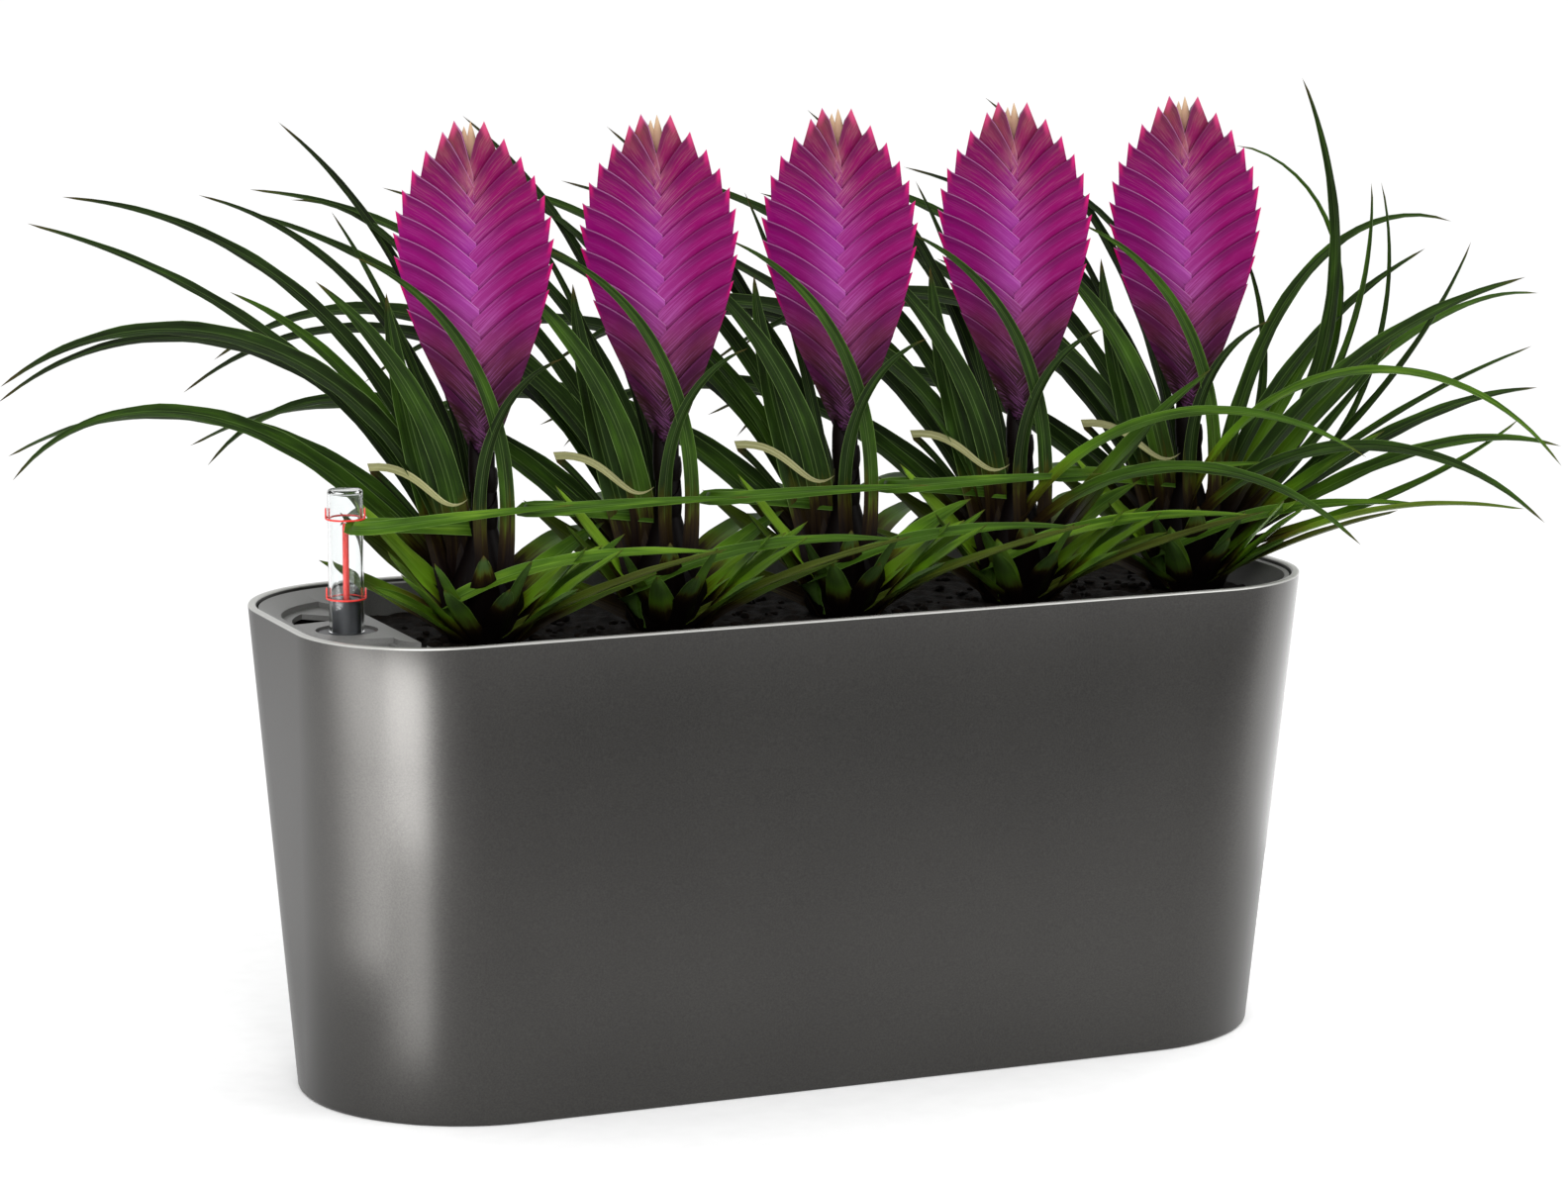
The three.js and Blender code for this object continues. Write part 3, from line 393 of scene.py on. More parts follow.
class Look:
    """A material with short calls for the nodes that make its pattern."""

    def __init__(self, name):
        self.material = bpy.data.materials.new(name)
        self.material.use_nodes = True
        self.nodes = self.material.node_tree.nodes
        self.links = self.material.node_tree.links
        self.shader = self.nodes["Principled BSDF"]

    def set(self, socket, value):
        if isinstance(value, bpy.types.NodeSocket):
            self.links.new(value, socket)
        else:
            socket.default_value = value

    def marks(self, *names):
        """The numbers of those names that the mesh has for every point."""
        nodes = [self.nodes.new("ShaderNodeAttribute") for _ in names]
        for node, name in zip(nodes, names):
            node.attribute_name = name
        return [node.outputs["Fac"] for node in nodes]

    def place(self):
        return self.nodes.new("ShaderNodeTexCoord").outputs["Object"]

    def height(self, vector):
        node = self.nodes.new("ShaderNodeSeparateXYZ")
        self.set(node.inputs["Vector"], vector)
        return node.outputs["Z"]

    def stretched(self, values, factors):
        """A place in a pattern made from three numbers, each times its factor."""
        node = self.nodes.new("ShaderNodeCombineXYZ")
        for socket, value, factor in zip(node.inputs, values, factors):
            self.set(socket, self.times(value, factor))
        return node.outputs["Vector"]

    def noise(self, vector, scale, detail=3.0, roughness=0.5):
        node = self.nodes.new("ShaderNodeTexNoise")
        self.set(node.inputs["Vector"], vector)
        node.inputs["Scale"].default_value = scale
        node.inputs["Detail"].default_value = detail
        node.inputs["Roughness"].default_value = roughness
        return node.outputs["Fac"]

    def cells(self, vector, scale):
        node = self.nodes.new("ShaderNodeTexVoronoi")
        self.set(node.inputs["Vector"], vector)
        node.inputs["Scale"].default_value = scale
        return node.outputs["Distance"]

    def math(self, operation, first, second=0.0, third=0.0):
        node = self.nodes.new("ShaderNodeMath")
        node.operation = operation
        for socket, value in zip(node.inputs, (first, second, third)):
            self.set(socket, value)
        return node.outputs["Value"]

    def times(self, first, second):
        return self.math("MULTIPLY", first, second)

    def weighed(self, first, share, second, other_share):
        """The sum of two patterns, each times its share."""
        return self.math("MULTIPLY_ADD", first, share, self.times(second, other_share))

    def swayed(self, value, pattern, amount):
        """A value that a pattern from 0 to 1 moves up and down by half that amount."""
        return self.math("MULTIPLY_ADD", self.math("SUBTRACT", pattern, 0.5), amount, value)

    def spread(self, value, low, high, to_low=0.0, to_high=1.0):
        node = self.nodes.new("ShaderNodeMapRange")
        node.interpolation_type = "SMOOTHSTEP"
        numbers = (value, low, high, to_low, to_high)
        for name, number in zip(("Value", "From Min", "From Max", "To Min", "To Max"), numbers):
            self.set(node.inputs[name], number)
        return node.outputs["Result"]

    def ramp(self, value, *stops):
        node = self.nodes.new("ShaderNodeValToRGB")
        self.set(node.inputs["Fac"], value)
        elements = node.color_ramp.elements
        while len(elements) < len(stops):
            elements.new(1.0)
        for element, (position, code) in zip(elements, stops):
            element.position = position
            element.color = colour(code)
        return node.outputs["Color"]

    def mix(self, factor, first, second):
        node = self.nodes.new("ShaderNodeMix")
        node.data_type = "RGBA"
        sockets = {socket.identifier: socket for socket in [*node.inputs, *node.outputs]}
        self.set(sockets["Factor_Float"], factor)
        self.set(sockets["A_Color"], first)
        self.set(sockets["B_Color"], second)
        return sockets["Result_Color"]

    def bump(self, height, depth, strength=1.0):
        node = self.nodes.new("ShaderNodeBump")
        node.inputs["Strength"].default_value = strength
        node.inputs["Distance"].default_value = depth
        self.set(node.inputs["Height"], height)
        self.set(self.shader.inputs["Normal"], node.outputs["Normal"])

    def finish(self, **sockets):
        for name, value in sockets.items():
            self.set(self.shader.inputs[name.replace("_", " ")], value)
        return self.material


# Planter

def outline(z, inset, level=None):
    """The planter's rounded outline at height z, drawn in by inset and laid at level."""
    t = z / HEIGHT
    corner = lerp(FOOT_CORNER, TOP_CORNER, t) - inset
    x = lerp(FOOT_LENGTH, TOP_LENGTH, t) / 2 - inset - corner
    y = lerp(FOOT_DEPTH, TOP_DEPTH, t) / 2 - inset - corner
    angles = np.pi / 2 * np.arange(CORNER_STEPS + 1) / CORNER_STEPS
    points = []
    for quarter, (middle_x, middle_y) in enumerate([(x, y), (-x, y), (-x, -y), (x, -y)]):
        turns = angles + quarter * np.pi / 2
        points.append(np.column_stack([
            middle_x + corner * np.cos(turns),
            middle_y + corner * np.sin(turns),
            np.full(CORNER_STEPS + 1, z if level is None else level),
        ]))
    return np.concatenate(points)


def rounding(radius):
    """Steps round a quarter of an edge, each as its distances from the edge's two sides."""
    angles = [math.radians(angle) for angle in (0, 30, 60, 90)]
    return [(radius * (1 - math.cos(angle)), radius * (1 - math.sin(angle))) for angle in angles]


def make_shell(material):
    """The shell from its foot up the outside, over the rim and down the inside to its floor."""
    rings = [outline(rise, inset) for rise, inset in rounding(FOOT_ROUND)]
    rings += [outline(HEIGHT * share, 0) for share in (0.25, 0.5, 0.75)]
    rings += [outline(HEIGHT - drop, inset) for inset, drop in rounding(RIM_ROUND)]
    rings += [outline(HEIGHT - drop, WALL - inset) for inset, drop in reversed(rounding(RIM_ROUND))]
    rings.append(outline(HEIGHT / 2, WALL))
    rings += [outline(FLOOR + rise, WALL + inset) for inset, rise in rounding(FLOOR_ROUND)]
    return loft_shape(rings).made("shell", material, sharp=50)


def cut(body, tool, operation="DIFFERENCE"):
    """Cuts one closed mesh with another, or joins them, and drops the tool."""
    modifier = body.modifiers.new("cut", "BOOLEAN")
    modifier.operation = operation
    modifier.solver = "EXACT"
    modifier.object = tool
    graph = bpy.context.evaluated_depsgraph_get()
    mesh = bpy.data.meshes.new_from_object(body.evaluated_get(graph))
    body.modifiers.clear()
    body.data = mesh
    bpy.data.objects.remove(tool)
    return body


def prism(corners, low, high):
    """An upright body over corners that run anticlockwise."""
    return loft_shape([[(x, y, low) for x, y in corners], [(x, y, high) for x, y in corners]])


def ring_sector(radii, angles, side):
    """Corners of the part of a ring round the slot's centre between two radii and two directions."""
    sweep = np.radians(np.linspace(*angles, 17))
    outer = [(radii[1] * math.cos(a), radii[1] * math.sin(a)) for a in sweep]
    inner = [(radii[0] * math.cos(a), radii[0] * math.sin(a)) for a in reversed(sweep)]
    corners = [(SLOT_CENTRE[0] + x, side * (SLOT_CENTRE[1] + y)) for x, y in outer + inner]
    return corners if side > 0 else corners[::-1]


def bay_corners():
    """Corners of the room for the soil, round at its left end, and cut off square at the right."""
    half = TOP_DEPTH / 2 - TUB_INSET
    middle_x = BAY_LEFT + BAY_CORNER
    corners = [(TOP_LENGTH / 2, -half), (TOP_LENGTH / 2, half)]
    for middle_y, start in ((half - BAY_CORNER, 90), (BAY_CORNER - half, 180)):
        for angle in np.radians(np.linspace(start, start + 90, 13)):
            corners.append((middle_x + BAY_CORNER * math.cos(angle), middle_y + BAY_CORNER * math.sin(angle)))
    return corners


def plain(shape, name="tool"):
    return shape.made(name, None)


def bay(bottom, top):
    """The room for the soil between two heights."""
    body = plain(loft_shape([outline(bottom, TUB_INSET), outline(top, TUB_INSET)]), "bay")
    return cut(body, plain(prism(bay_corners(), bottom - PAST, top + PAST)), "INTERSECT")


def liner_foot(x, y):
    """A tapered foot that the liner stands on in the shell."""
    low, high = FLOOR + SEAT, LINER_BOTTOM + PAST
    lower_radius, upper_radius = LINER_FOOT_RADII
    points, faces = turned([(0, low), (lower_radius, low), (upper_radius, high), (0, high)], 24, x)
    foot = Shape()
    foot.add(np.array(points) + (0, y, 0), faces)
    return foot


def make_liner(material):
    """The liner, cut from a block: its collar, its tub, the room under its plate, the slots and the hole."""
    outside = WALL + LINER_GAP
    under_plate = PLATE_TOP - PLATE_THICKNESS
    body = plain(loft_shape([outline(LINER_BOTTOM, outside), outline(LINER_TOP, outside)]), "liner_insert")
    collar = loft_shape([
        outline(PLATE_TOP, outside + COLLAR_FOOT),
        outline(LINER_TOP, outside + COLLAR_TOP),
        outline(LINER_TOP, outside + COLLAR_TOP, LINER_TOP + PAST),
    ])
    cut(body, plain(collar))
    cut(body, bay(LINER_FLOOR, LINER_TOP + PAST))
    behind = BAY_LEFT - LINER_WALL
    corners = [(behind - 0.1, -0.1), (behind, -0.1), (behind, 0.1), (behind - 0.1, 0.1)]
    cut(body, plain(prism(corners, -0.01, under_plate)))
    for side in (-1, 1):
        slot = ring_sector(SLOT_RADII, SLOT_ANGLES, side)
        recess = ring_sector(RECESS_RADII, RECESS_ANGLES, side)
        cut(body, plain(prism(slot, under_plate - PAST, under_plate + 0.02)))
        cut(body, plain(prism(recess, PLATE_TOP - RECESS_DEPTH, PLATE_TOP + 0.02)))
    turns = np.radians(np.arange(0, 360, 7.5))
    hole = [(INDICATOR_X + HOLE_RADIUS * math.cos(a), HOLE_RADIUS * math.sin(a)) for a in turns]
    cut(body, plain(prism(hole, PLATE_TOP - 0.01, PLATE_TOP + 0.01)))
    for x in FOOT_PLACES:
        for y in (-LINER_FOOT_Y, LINER_FOOT_Y):
            cut(body, plain(liner_foot(x, y)), "UNION")
    return finished(body, material, 35)


# Soil

def ground_height(x, y):
    """Small smooth hills and hollows, from -1 to 1."""
    hills = np.sin(x * 190 + 1.3) * np.cos(y * 230 + 0.4) + np.sin(x * 410 + y * 350)
    return (hills + np.sin(y * 610 - x * 270 + 2.1) * 0.7) / 2.7


def soil_rows(left, right, half_y, right_corner):
    """Rows of points across the soil's uneven top, from its left end to its right one."""
    left_corner = BAY_CORNER - SOIL_INSET
    shares = np.linspace(-1, 1, int(2 * half_y / SOIL_SPACING) + 1)
    rows = []
    for x in np.linspace(left, right, int((right - left) / SOIL_SPACING) + 1):
        reach = half_y
        for away, corner in ((left + left_corner - x, left_corner), (x - right + right_corner, right_corner)):
            if away > 0:
                reach = half_y - corner + math.sqrt(max(corner ** 2 - away ** 2, 0))
        rows.append([(x, y, SOIL_TOP + SOIL_LIFT + SOIL_HILLS * ground_height(x, y)) for y in reach * shares])
    return np.array(rows)


def sheet_faces(along, across):
    """Faces of a body between an upper and a lower grid of points, with walls round its edge."""
    count = along * across
    faces = []
    for i in range(along - 1):
        for j in range(across - 1):
            corner = i * across + j
            face = [corner, corner + across, corner + across + 1, corner + 1]
            faces += [face, [count + place for place in reversed(face)]]
    edge = [i * across for i in range(along)]
    edge += [(along - 1) * across + j for j in range(1, across)]
    edge += [i * across + across - 1 for i in range(along - 2, -1, -1)]
    edge += list(range(across - 2, 0, -1))
    for first, second in zip(edge, edge[1:] + edge[:1]):
        faces.append([second, first, count + first, count + second])
    return faces


def make_soil(material):
    """The soil's uneven top with crumbs on it, over the plain solid that fills the liner."""
    inset = TUB_INSET + SOIL_INSET
    half_y = lerp(FOOT_DEPTH, TOP_DEPTH, SOIL_TOP / HEIGHT) / 2 - inset
    right = lerp(FOOT_LENGTH, TOP_LENGTH, SOIL_TOP / HEIGHT) / 2 - inset
    left = BAY_LEFT + SOIL_INSET
    tops = soil_rows(left, right, half_y, TOP_CORNER - inset)
    bottoms = tops.copy()
    bottoms[:, :, 2] = SOIL_TOP - SOIL_DEPTH
    shape = Shape()
    shape.add(np.concatenate([tops, bottoms]).reshape(-1, 3), sheet_faces(*tops.shape[:2]))
    add_crumbs(shape, left, right, half_y)
    return shape.made("soil_surface", material, sharp=60)


def add_crumbs(shape, left, right, half_y):
    """Small uneven lumps, half sunk in the soil, that keep to its middle near the round ends."""
    end_room, side_room = 0.012, 0.004
    left_round, right_round, narrowed = 0.025, 0.045, 0.62
    seeded = random.Random(4)
    corners, faces = ball()
    for _ in range(CRUMBS):
        x = seeded.uniform(left + end_room, right - end_room)
        y = seeded.uniform(-half_y + side_room, half_y - side_room)
        if x > right - right_round or x < left + left_round:
            y *= narrowed
        size = seeded.uniform(*CRUMB_SIZES)
        stretch = np.array([seeded.uniform(0.7, 1.4), seeded.uniform(0.7, 1.3), seeded.uniform(0.5, 0.9)])
        lumps = np.array([seeded.uniform(0.75, 1.2) for _ in corners])
        place = (x, y, SOIL_TOP + SOIL_HILLS + SOIL_HILLS * ground_height(x, y))
        shape.add(corners * lumps[:, None] * stretch * size + place, faces)


def ball():
    """Corners and faces of a ball with 20 sides."""
    golden = (1 + math.sqrt(5)) / 2
    corners = []
    for first in (-1, 1):
        for second in (-golden, golden):
            corners += [(0, first, second), (first, second, 0), (second, 0, first)]
    corners = np.array(corners) / math.hypot(1, golden)
    faces = []
    for i in range(12):
        for j in range(i + 1, 12):
            for k in range(j + 1, 12):
                sides = [corners[i] - corners[j], corners[j] - corners[k], corners[k] - corners[i]]
                if max(np.linalg.norm(side) for side in sides) < 1.1:
                    outward = np.dot(np.cross(-sides[0], sides[2]), corners[i]) < 0
                    faces.append([i, j, k] if outward else [i, k, j])
    return corners, faces


# Indicator

def make_turned(name, profile, steps, material):
    """A piece turned round the indicator's middle line."""
    shape = Shape()
    shape.add(*turned(profile, steps, INDICATOR_X))
    return shape.made(name, material)


def make_housing(material):
    """The pipe that stands in the shell, with a sleeve at its top that guides the rod."""
    foot, shoulder = FLOOR + SEAT, PLATE_TOP - 0.0008
    edge, step = 0.0005, 0.0006
    profile = [(PIPE_BORE, foot), *rounded(PIPE_RADIUS - edge, foot + edge, edge, -90, 0)]
    profile += rounded(PIPE_RADIUS - step, shoulder - step, step, 0, 90)
    profile += rounded(SLEEVE_RADIUS + step, shoulder + step, step, -90, -180)
    profile += rounded(SLEEVE_RADIUS - edge, SLEEVE_TOP - edge, edge, 0, 90)
    profile += [(PIPE_GUIDE, SLEEVE_TOP), (PIPE_GUIDE, PIPE_BORE_TOP)]
    profile += [(PIPE_BORE, PIPE_BORE_TOP), (PIPE_BORE, foot)]
    return make_turned("housing", profile, 48, material)


def make_tube(material):
    """The clear cap over the rod, open at its foot."""
    foot = PLATE_TOP - 0.0005
    wall, inner_edge, outer_edge = 0.0012, 0.0008, 0.001
    inner_top = TUBE_TOP - wall
    profile = [(0, inner_top), *rounded(TUBE_INNER - inner_edge, inner_top - inner_edge, inner_edge, 90, 0)]
    profile += [(TUBE_INNER, foot), (TUBE_OUTER, foot)]
    profile += [*rounded(TUBE_OUTER - outer_edge, TUBE_TOP - outer_edge, outer_edge, 0, 90), (0, TUBE_TOP)]
    return make_turned("tube", profile, 48, material)


def tick_ring(side, level, drawn):
    """Corners of the tick at one side of a mark, at one level and drawn in from its full size."""
    facing = math.radians(FACE)
    inner, outer, half = MARK_INNER + drawn, MARK_OUTER - drawn, TICK_HALF_WIDTH - drawn
    ring = []
    for out, aside in ((inner, -half), (outer, -half), (outer, half), (inner, half)):
        x = out * math.cos(facing) - aside * math.sin(facing)
        y = out * math.sin(facing) + aside * math.cos(facing)
        ring.append((INDICATOR_X + side * x, side * y, level))
    return ring


def make_mark(name, z, material):
    """A red ring round the tube with a short upright tick at each side."""
    top = z + MARK_HEIGHT
    inner, outer = MARK_INNER + MARK_EDGE, MARK_OUTER - MARK_EDGE
    profile = [(MARK_INNER, z + MARK_EDGE), (inner, z), (outer, z), (MARK_OUTER, z + MARK_EDGE)]
    profile += [(MARK_OUTER, top - MARK_EDGE), (outer, top), (inner, top), (MARK_INNER, top - MARK_EDGE)]
    shape = Shape()
    shape.add(*turned([*profile, profile[0]], 48, INDICATOR_X))
    levels = ((0.0003, 0.0), (TICK_HEIGHT - 0.0004, 0.0), (TICK_HEIGHT, 0.00015))
    for side in (-1, 1):
        shape.add(*lofted([tick_ring(side, z + level, drawn) for level, drawn in levels]))
    return shape.made(name, material)


def make_float(material):
    """The float with its rod."""
    top = FLOAT_FOOT + FLOAT_HEIGHT
    corner = FLOAT_RADIUS - FLOAT_EDGE
    profile = [(0, FLOAT_FOOT), *rounded(corner, FLOAT_FOOT + FLOAT_EDGE, FLOAT_EDGE, -90, 0)]
    profile += rounded(corner, top - FLOAT_EDGE, FLOAT_EDGE, 0, 90)
    profile += [(ROD_RADIUS, top), (ROD_RADIUS, ROD_TOP - ROD_EDGE)]
    profile += [(ROD_RADIUS - ROD_EDGE, ROD_TOP), (0, ROD_TOP)]
    return make_turned("float_and_rod", profile, 32, material)


# Leaves: the same paths and the same rule for their places as in the solids

def leaf_width(leaf, along):
    foot = 1 + FOOT_SPREAD * np.maximum(0, 1 - along / FOOT_SHARE)
    return leaf.width * foot * (1 - along ** 2.4) ** 0.8


def leaf_steps(leaf):
    """A longer leaf has more steps, and so has one at the front."""
    least = 3 if leaf.face != FACING or leaf.hook else 2
    return STEPS_A_SEGMENT * (least + sum(leaf.length > length for length in MORE_SEGMENTS_FROM))


def leaf_path(leaf, x):
    """Every step along a leaf: its point, its upper side, the way across it and its width."""
    steps = leaf_steps(leaf)
    along = np.arange(steps + 1) / steps
    swept = smoothstep(along, leaf.hook - 0.12, leaf.hook + 0.12) if leaf.hook else along
    climb = np.radians(leaf.rise + (leaf.fall - leaf.rise) * along ** leaf.ease)
    heading = np.radians(leaf.turn + leaf.sweep * swept)
    flat = np.column_stack([np.cos(heading), np.sin(heading), np.zeros(steps + 1)])
    tangent = flat * np.cos(climb)[:, None] + np.outer(np.sin(climb), (0, 0, 1))
    upward = flat * -np.sin(climb)[:, None] + np.outer(np.cos(climb), (0, 0, 1))
    front = np.array([math.sin(math.radians(FACE)), -math.cos(math.radians(FACE)), 0])
    upward += leaf.face * (front - (tangent @ front)[:, None] * tangent)
    upward /= np.linalg.norm(upward, axis=1)[:, None]
    root = math.radians(leaf.turn if leaf.root is None else leaf.root)
    start = [x + leaf.out * math.cos(root), leaf.out * math.sin(root), CROWN + leaf.up]
    points = np.cumsum(np.vstack([start, tangent[:-1] * (leaf.length / steps)]), axis=0)
    return along, points, upward, np.cross(upward, tangent), leaf_width(leaf, along)


def leaf_points(leaf, path):
    """Points spread over a leaf past its foot, close enough that another leaf can't pass between them."""
    middle, upward, across, width = (part[::STEPS_A_SEGMENT] for part in path[1:])
    left = middle + across * (width / 2)[:, None]
    right = middle - across * (width / 2)[:, None]
    keel = middle - upward * (KEEL_LEAST + KEEL_SHARE * width)[:, None]
    spread = []
    for segment in range(len(middle) - 1):
        steps = math.ceil(np.linalg.norm(middle[segment + 1] - middle[segment]) / POINT_SPACING)
        shares = (np.arange(5 if segment == 0 else 0, steps) / steps)[:, None]
        edges = [lerp(line[segment], line[segment + 1], shares) for line in (left, right, keel)]
        spread += [*edges, lerp(edges[0], edges[1], 0.5)]
        if leaf.width > WIDE_LEAF:
            spread += [lerp(edges[0], edges[1], 0.25), lerp(edges[0], edges[1], 0.75)]
    return np.concatenate(spread)


def head_half_width(t):
    """Half the head's width at a height from 0 at its foot to 1 at its top."""
    t = np.asarray(t, float)
    below = 1 - (np.maximum(WIDEST - t, 0) / WIDEST) ** LOW_CURVE
    above = 1 - (np.maximum(t - WIDEST, 0) / ABOVE_WIDEST) ** HIGH_CURVE
    return HEAD_HALF_WIDTH * np.where(t < WIDEST, below, above)


def blocked(points, own_x):
    """Whether any point is inside, or too close to, a flower head, another plant's stem, the indicator's
    tube or the planter."""
    facing = math.radians(FACE)
    x, y, z = points.T
    height = (z - HEAD_FOOT) / HEAD_HEIGHT
    lean = (z - HEAD_FOOT) * math.tan(math.radians(HEAD_LEAN))
    half = head_half_width(np.clip(height + 0.05, 0.1, 0.97)) + CLEAR_HEAD
    hit = (np.hypot(x - INDICATOR_X, y) < MARK_OUTER + CLEAR_TUBE) & (z < TUBE_TOP + CLEAR_TUBE)
    for plant_x in PLANT_X:
        across = np.abs((x - plant_x) * math.cos(facing) + y * math.sin(facing) + lean)
        depth = np.abs(y * math.cos(facing) - (x - plant_x) * math.sin(facing))
        room = (HEAD_HALF_DEPTH + 0.002) * (1 - across / half) + CLEAR_FACE
        hit |= (height >= -0.03) & (height <= 1.03) & (across < half) & (depth < room)
        if plant_x != own_x:
            stem_room = np.where(z < CLEAR_CROWN_TOP, CLEAR_CROWN, CLEAR_STALK)
            hit |= (z < HEAD_FOOT) & (np.hypot(x - plant_x, y) < stem_room)
    beyond = (np.abs(y) > TOP_DEPTH / 2 + CLEAR_SIDE) | (np.abs(x) > TOP_LENGTH / 2 + CLEAR_SIDE)
    over_bay = (np.abs(y) < BAY_HALF_DEPTH) & (x > BAY_LEFT + 0.005) & (x < BAY_RIGHT)
    hit |= (z <= HEIGHT + CLEAR_ABOVE) & ~beyond & ~(over_bay & (z > SOIL_TOP + CLEAR_SOIL))
    return hit.any()


def cells_of(points, near):
    """Numbers of the cells of space that points are in, or of those and the ones around them."""
    indices = np.floor(points / CELL).astype(np.int64) + CELLS_A_SIDE // 2
    if near:
        shifts = np.array([(i, j, k) for i in (-1, 0, 1) for j in (-1, 0, 1) for k in (-1, 0, 1)])
        indices = (indices[:, None] + shifts).reshape(-1, 3)
    numbers = (indices[:, 0] * CELLS_A_SIDE + indices[:, 1]) * CELLS_A_SIDE + indices[:, 2]
    return set(numbers.tolist())


def settled(leaf, plant, claims):
    """Turns a leaf aside until it is clear of the other plants, and claims its place. A leaf with no room
    gives nothing."""
    for lift in LIFTS:
        for aside in ASIDES:
            tried = replace(leaf, turn=leaf.turn + aside, rise=leaf.rise + lift)
            path = leaf_path(tried, PLANT_X[plant])
            points = leaf_points(tried, path)
            if blocked(points, PLANT_X[plant]):
                continue
            own = cells_of(points, False)
            if all(own.isdisjoint(taken) for other, taken in claims.items() if other != plant):
                claims[plant] |= cells_of(points, True)
                return tried, path
    return None


def settled_leaves(leaves, plant, claims):
    """The leaves of a list that find room, with their paths."""
    found = [settled(leaf, plant, claims) for leaf in leaves]
    return [pair for pair in found if pair]


def all_leaves():
    """Every plant's leaves with their paths. The outer plants place theirs first and the ones between follow,
    and the short leaves of all of them come last."""
    last = len(PLANT_X) - 1
    rows = dict.fromkeys(PLANT_ORDER, LEAVES)
    rows[last] = END_LEAVES + [leaf for leaf in LEAVES if leaf.turn < -20 or leaf.turn > 90]
    rows[last - 1] = BESIDE_END_LEAVES + LEAVES
    claims = {plant: set() for plant in PLANT_ORDER}
    placed = {plant: settled_leaves(leaves, plant, claims) for plant, leaves in rows.items()}
    for plant, pairs in placed.items():
        pairs += settled_leaves(SHORT_LEAVES, plant, claims)
    return placed


def bezier(marks, shares):
    """Points on the smooth curve that starts and ends at the outer marks and is drawn towards the others."""
    line = [np.asarray(mark) for mark in marks]
    while len(line) > 1:
        line = [lerp(start, end, shares) for start, end in zip(line, line[1:])]
    return line[0]


def curl_path(x):
    """The thin dry leaf's path in front of the plant at x."""
    shares = np.linspace(0, 1, CURL_STEPS + 1)[:, None]
    marks = np.concatenate([bezier(CURL_RISING, shares)[:-1], bezier(CURL_HANGING, shares)])
    facing = math.radians(FACE)
    right = np.array([math.cos(facing), math.sin(facing), 0])
    front = np.array([math.sin(facing), -math.cos(facing), 0])
    points = marks @ np.array([right, front, (0, 0, 1)]) + (x, 0, CROWN)
    tangent = np.gradient(points, axis=0)
    tangent /= np.linalg.norm(tangent, axis=1)[:, None]
    upward = front + (0, 0, 0.5) - (tangent @ (front + (0, 0, 0.5)))[:, None] * tangent
    upward /= np.linalg.norm(upward, axis=1)[:, None]
    along = np.linspace(0, 1, len(points))
    width = CURL_WIDTH * np.minimum(1, 0.5 + along) * (1 - along ** 5)
    return along, points, upward, np.cross(upward, tangent), width


def add_leaf(shape, path, length, light, dry, dark, seeded):
    """A closed, channelled blade: two edges, an upper side that sinks to the middle, and a keel under it."""
    along, points, upward, across, width = path
    thick = 0.0008 - 0.0003 * along
    deep = KEEL_LEAST + KEEL_SHARE * width
    sink = 0.9 * (deep - thick)
    phase = seeded.uniform(0, 6.28)
    ripple = 0.03 * width * np.sin(along * length * 260 + phase) * smoothstep(along, 0.15, 0.4)
    section = [
        (0.5, ripple), (0.27, -0.4 * sink), (0.07, -0.92 * sink), (-0.07, -0.92 * sink), (-0.27, -0.4 * sink),
        (-0.5, -ripple), (-0.28, -0.4 * sink - thick), (0, -deep), (0.28, -0.4 * sink - thick),
    ]
    count = len(section)
    rings = np.empty((len(points) - 1, count, 3))
    for corner, (share, rise) in enumerate(section):
        line = points + across * (share * width)[:, None] + upward * rise[:, None]
        rings[:, corner] = line[:-1]
    faces = ring_faces(len(rings), count, tip=True)
    faces += [[8, 1, 0], [7, 3, 2, 1, 8], [6, 4, 3, 7], [5, 4, 6]]
    shares = np.array([share * 2 for share, _ in section])
    unders = np.array([0, 0, 0, 0, 0, 0, 1, 1, 1.0])
    places = np.append(np.repeat(along[:-1], count), 1)
    shape.add(
        np.vstack([rings.reshape(-1, 3), points[-1]]), faces,
        along=places,
        reach=places * length,
        foot=places * max(length, FULL_FOOT_LENGTH) + NO_DARK_FOOT * (1 - dark),
        across=np.append(np.tile(shares, len(rings)), 0),
        under=np.append(np.tile(unders, len(rings)), 0),
        light=light + seeded.uniform(-0.09, 0.09),
        dry=np.append(np.repeat(np.broadcast_to(dry, along.shape)[:-1], count), np.max(dry)),
        own=seeded.random(),
    )


def add_stem(shape, x):
    """The crown that the leaves grow from, and the flower stalk in its sheaths."""
    profile = [(0, STEM_FOOT), (STEM_RADIUS, STEM_FOOT), (STEM_RADIUS, SOIL_TOP + 0.0005)]
    profile += [(0.014, SOIL_TOP + 0.0015), (0.016, SOIL_TOP + 0.006), (0.016, CROWN), (0.013, CROWN + 0.009)]
    profile += [(0.008, CROWN + 0.02), (STALK_RADIUS, CROWN + 0.032)]
    profile += [(STALK_RADIUS, HEAD_FOOT - SEAT), (0, HEAD_FOOT - SEAT)]
    shape.add(*turned(profile, 24, x), reach=0.0, light=0.1, own=0.5)
    for number in range(SHEATHS):
        low = CROWN + 0.012 + number * SHEATH_SPACING
        add_sheath(shape, x, low, math.radians(250 + number * SHEATH_TURN))


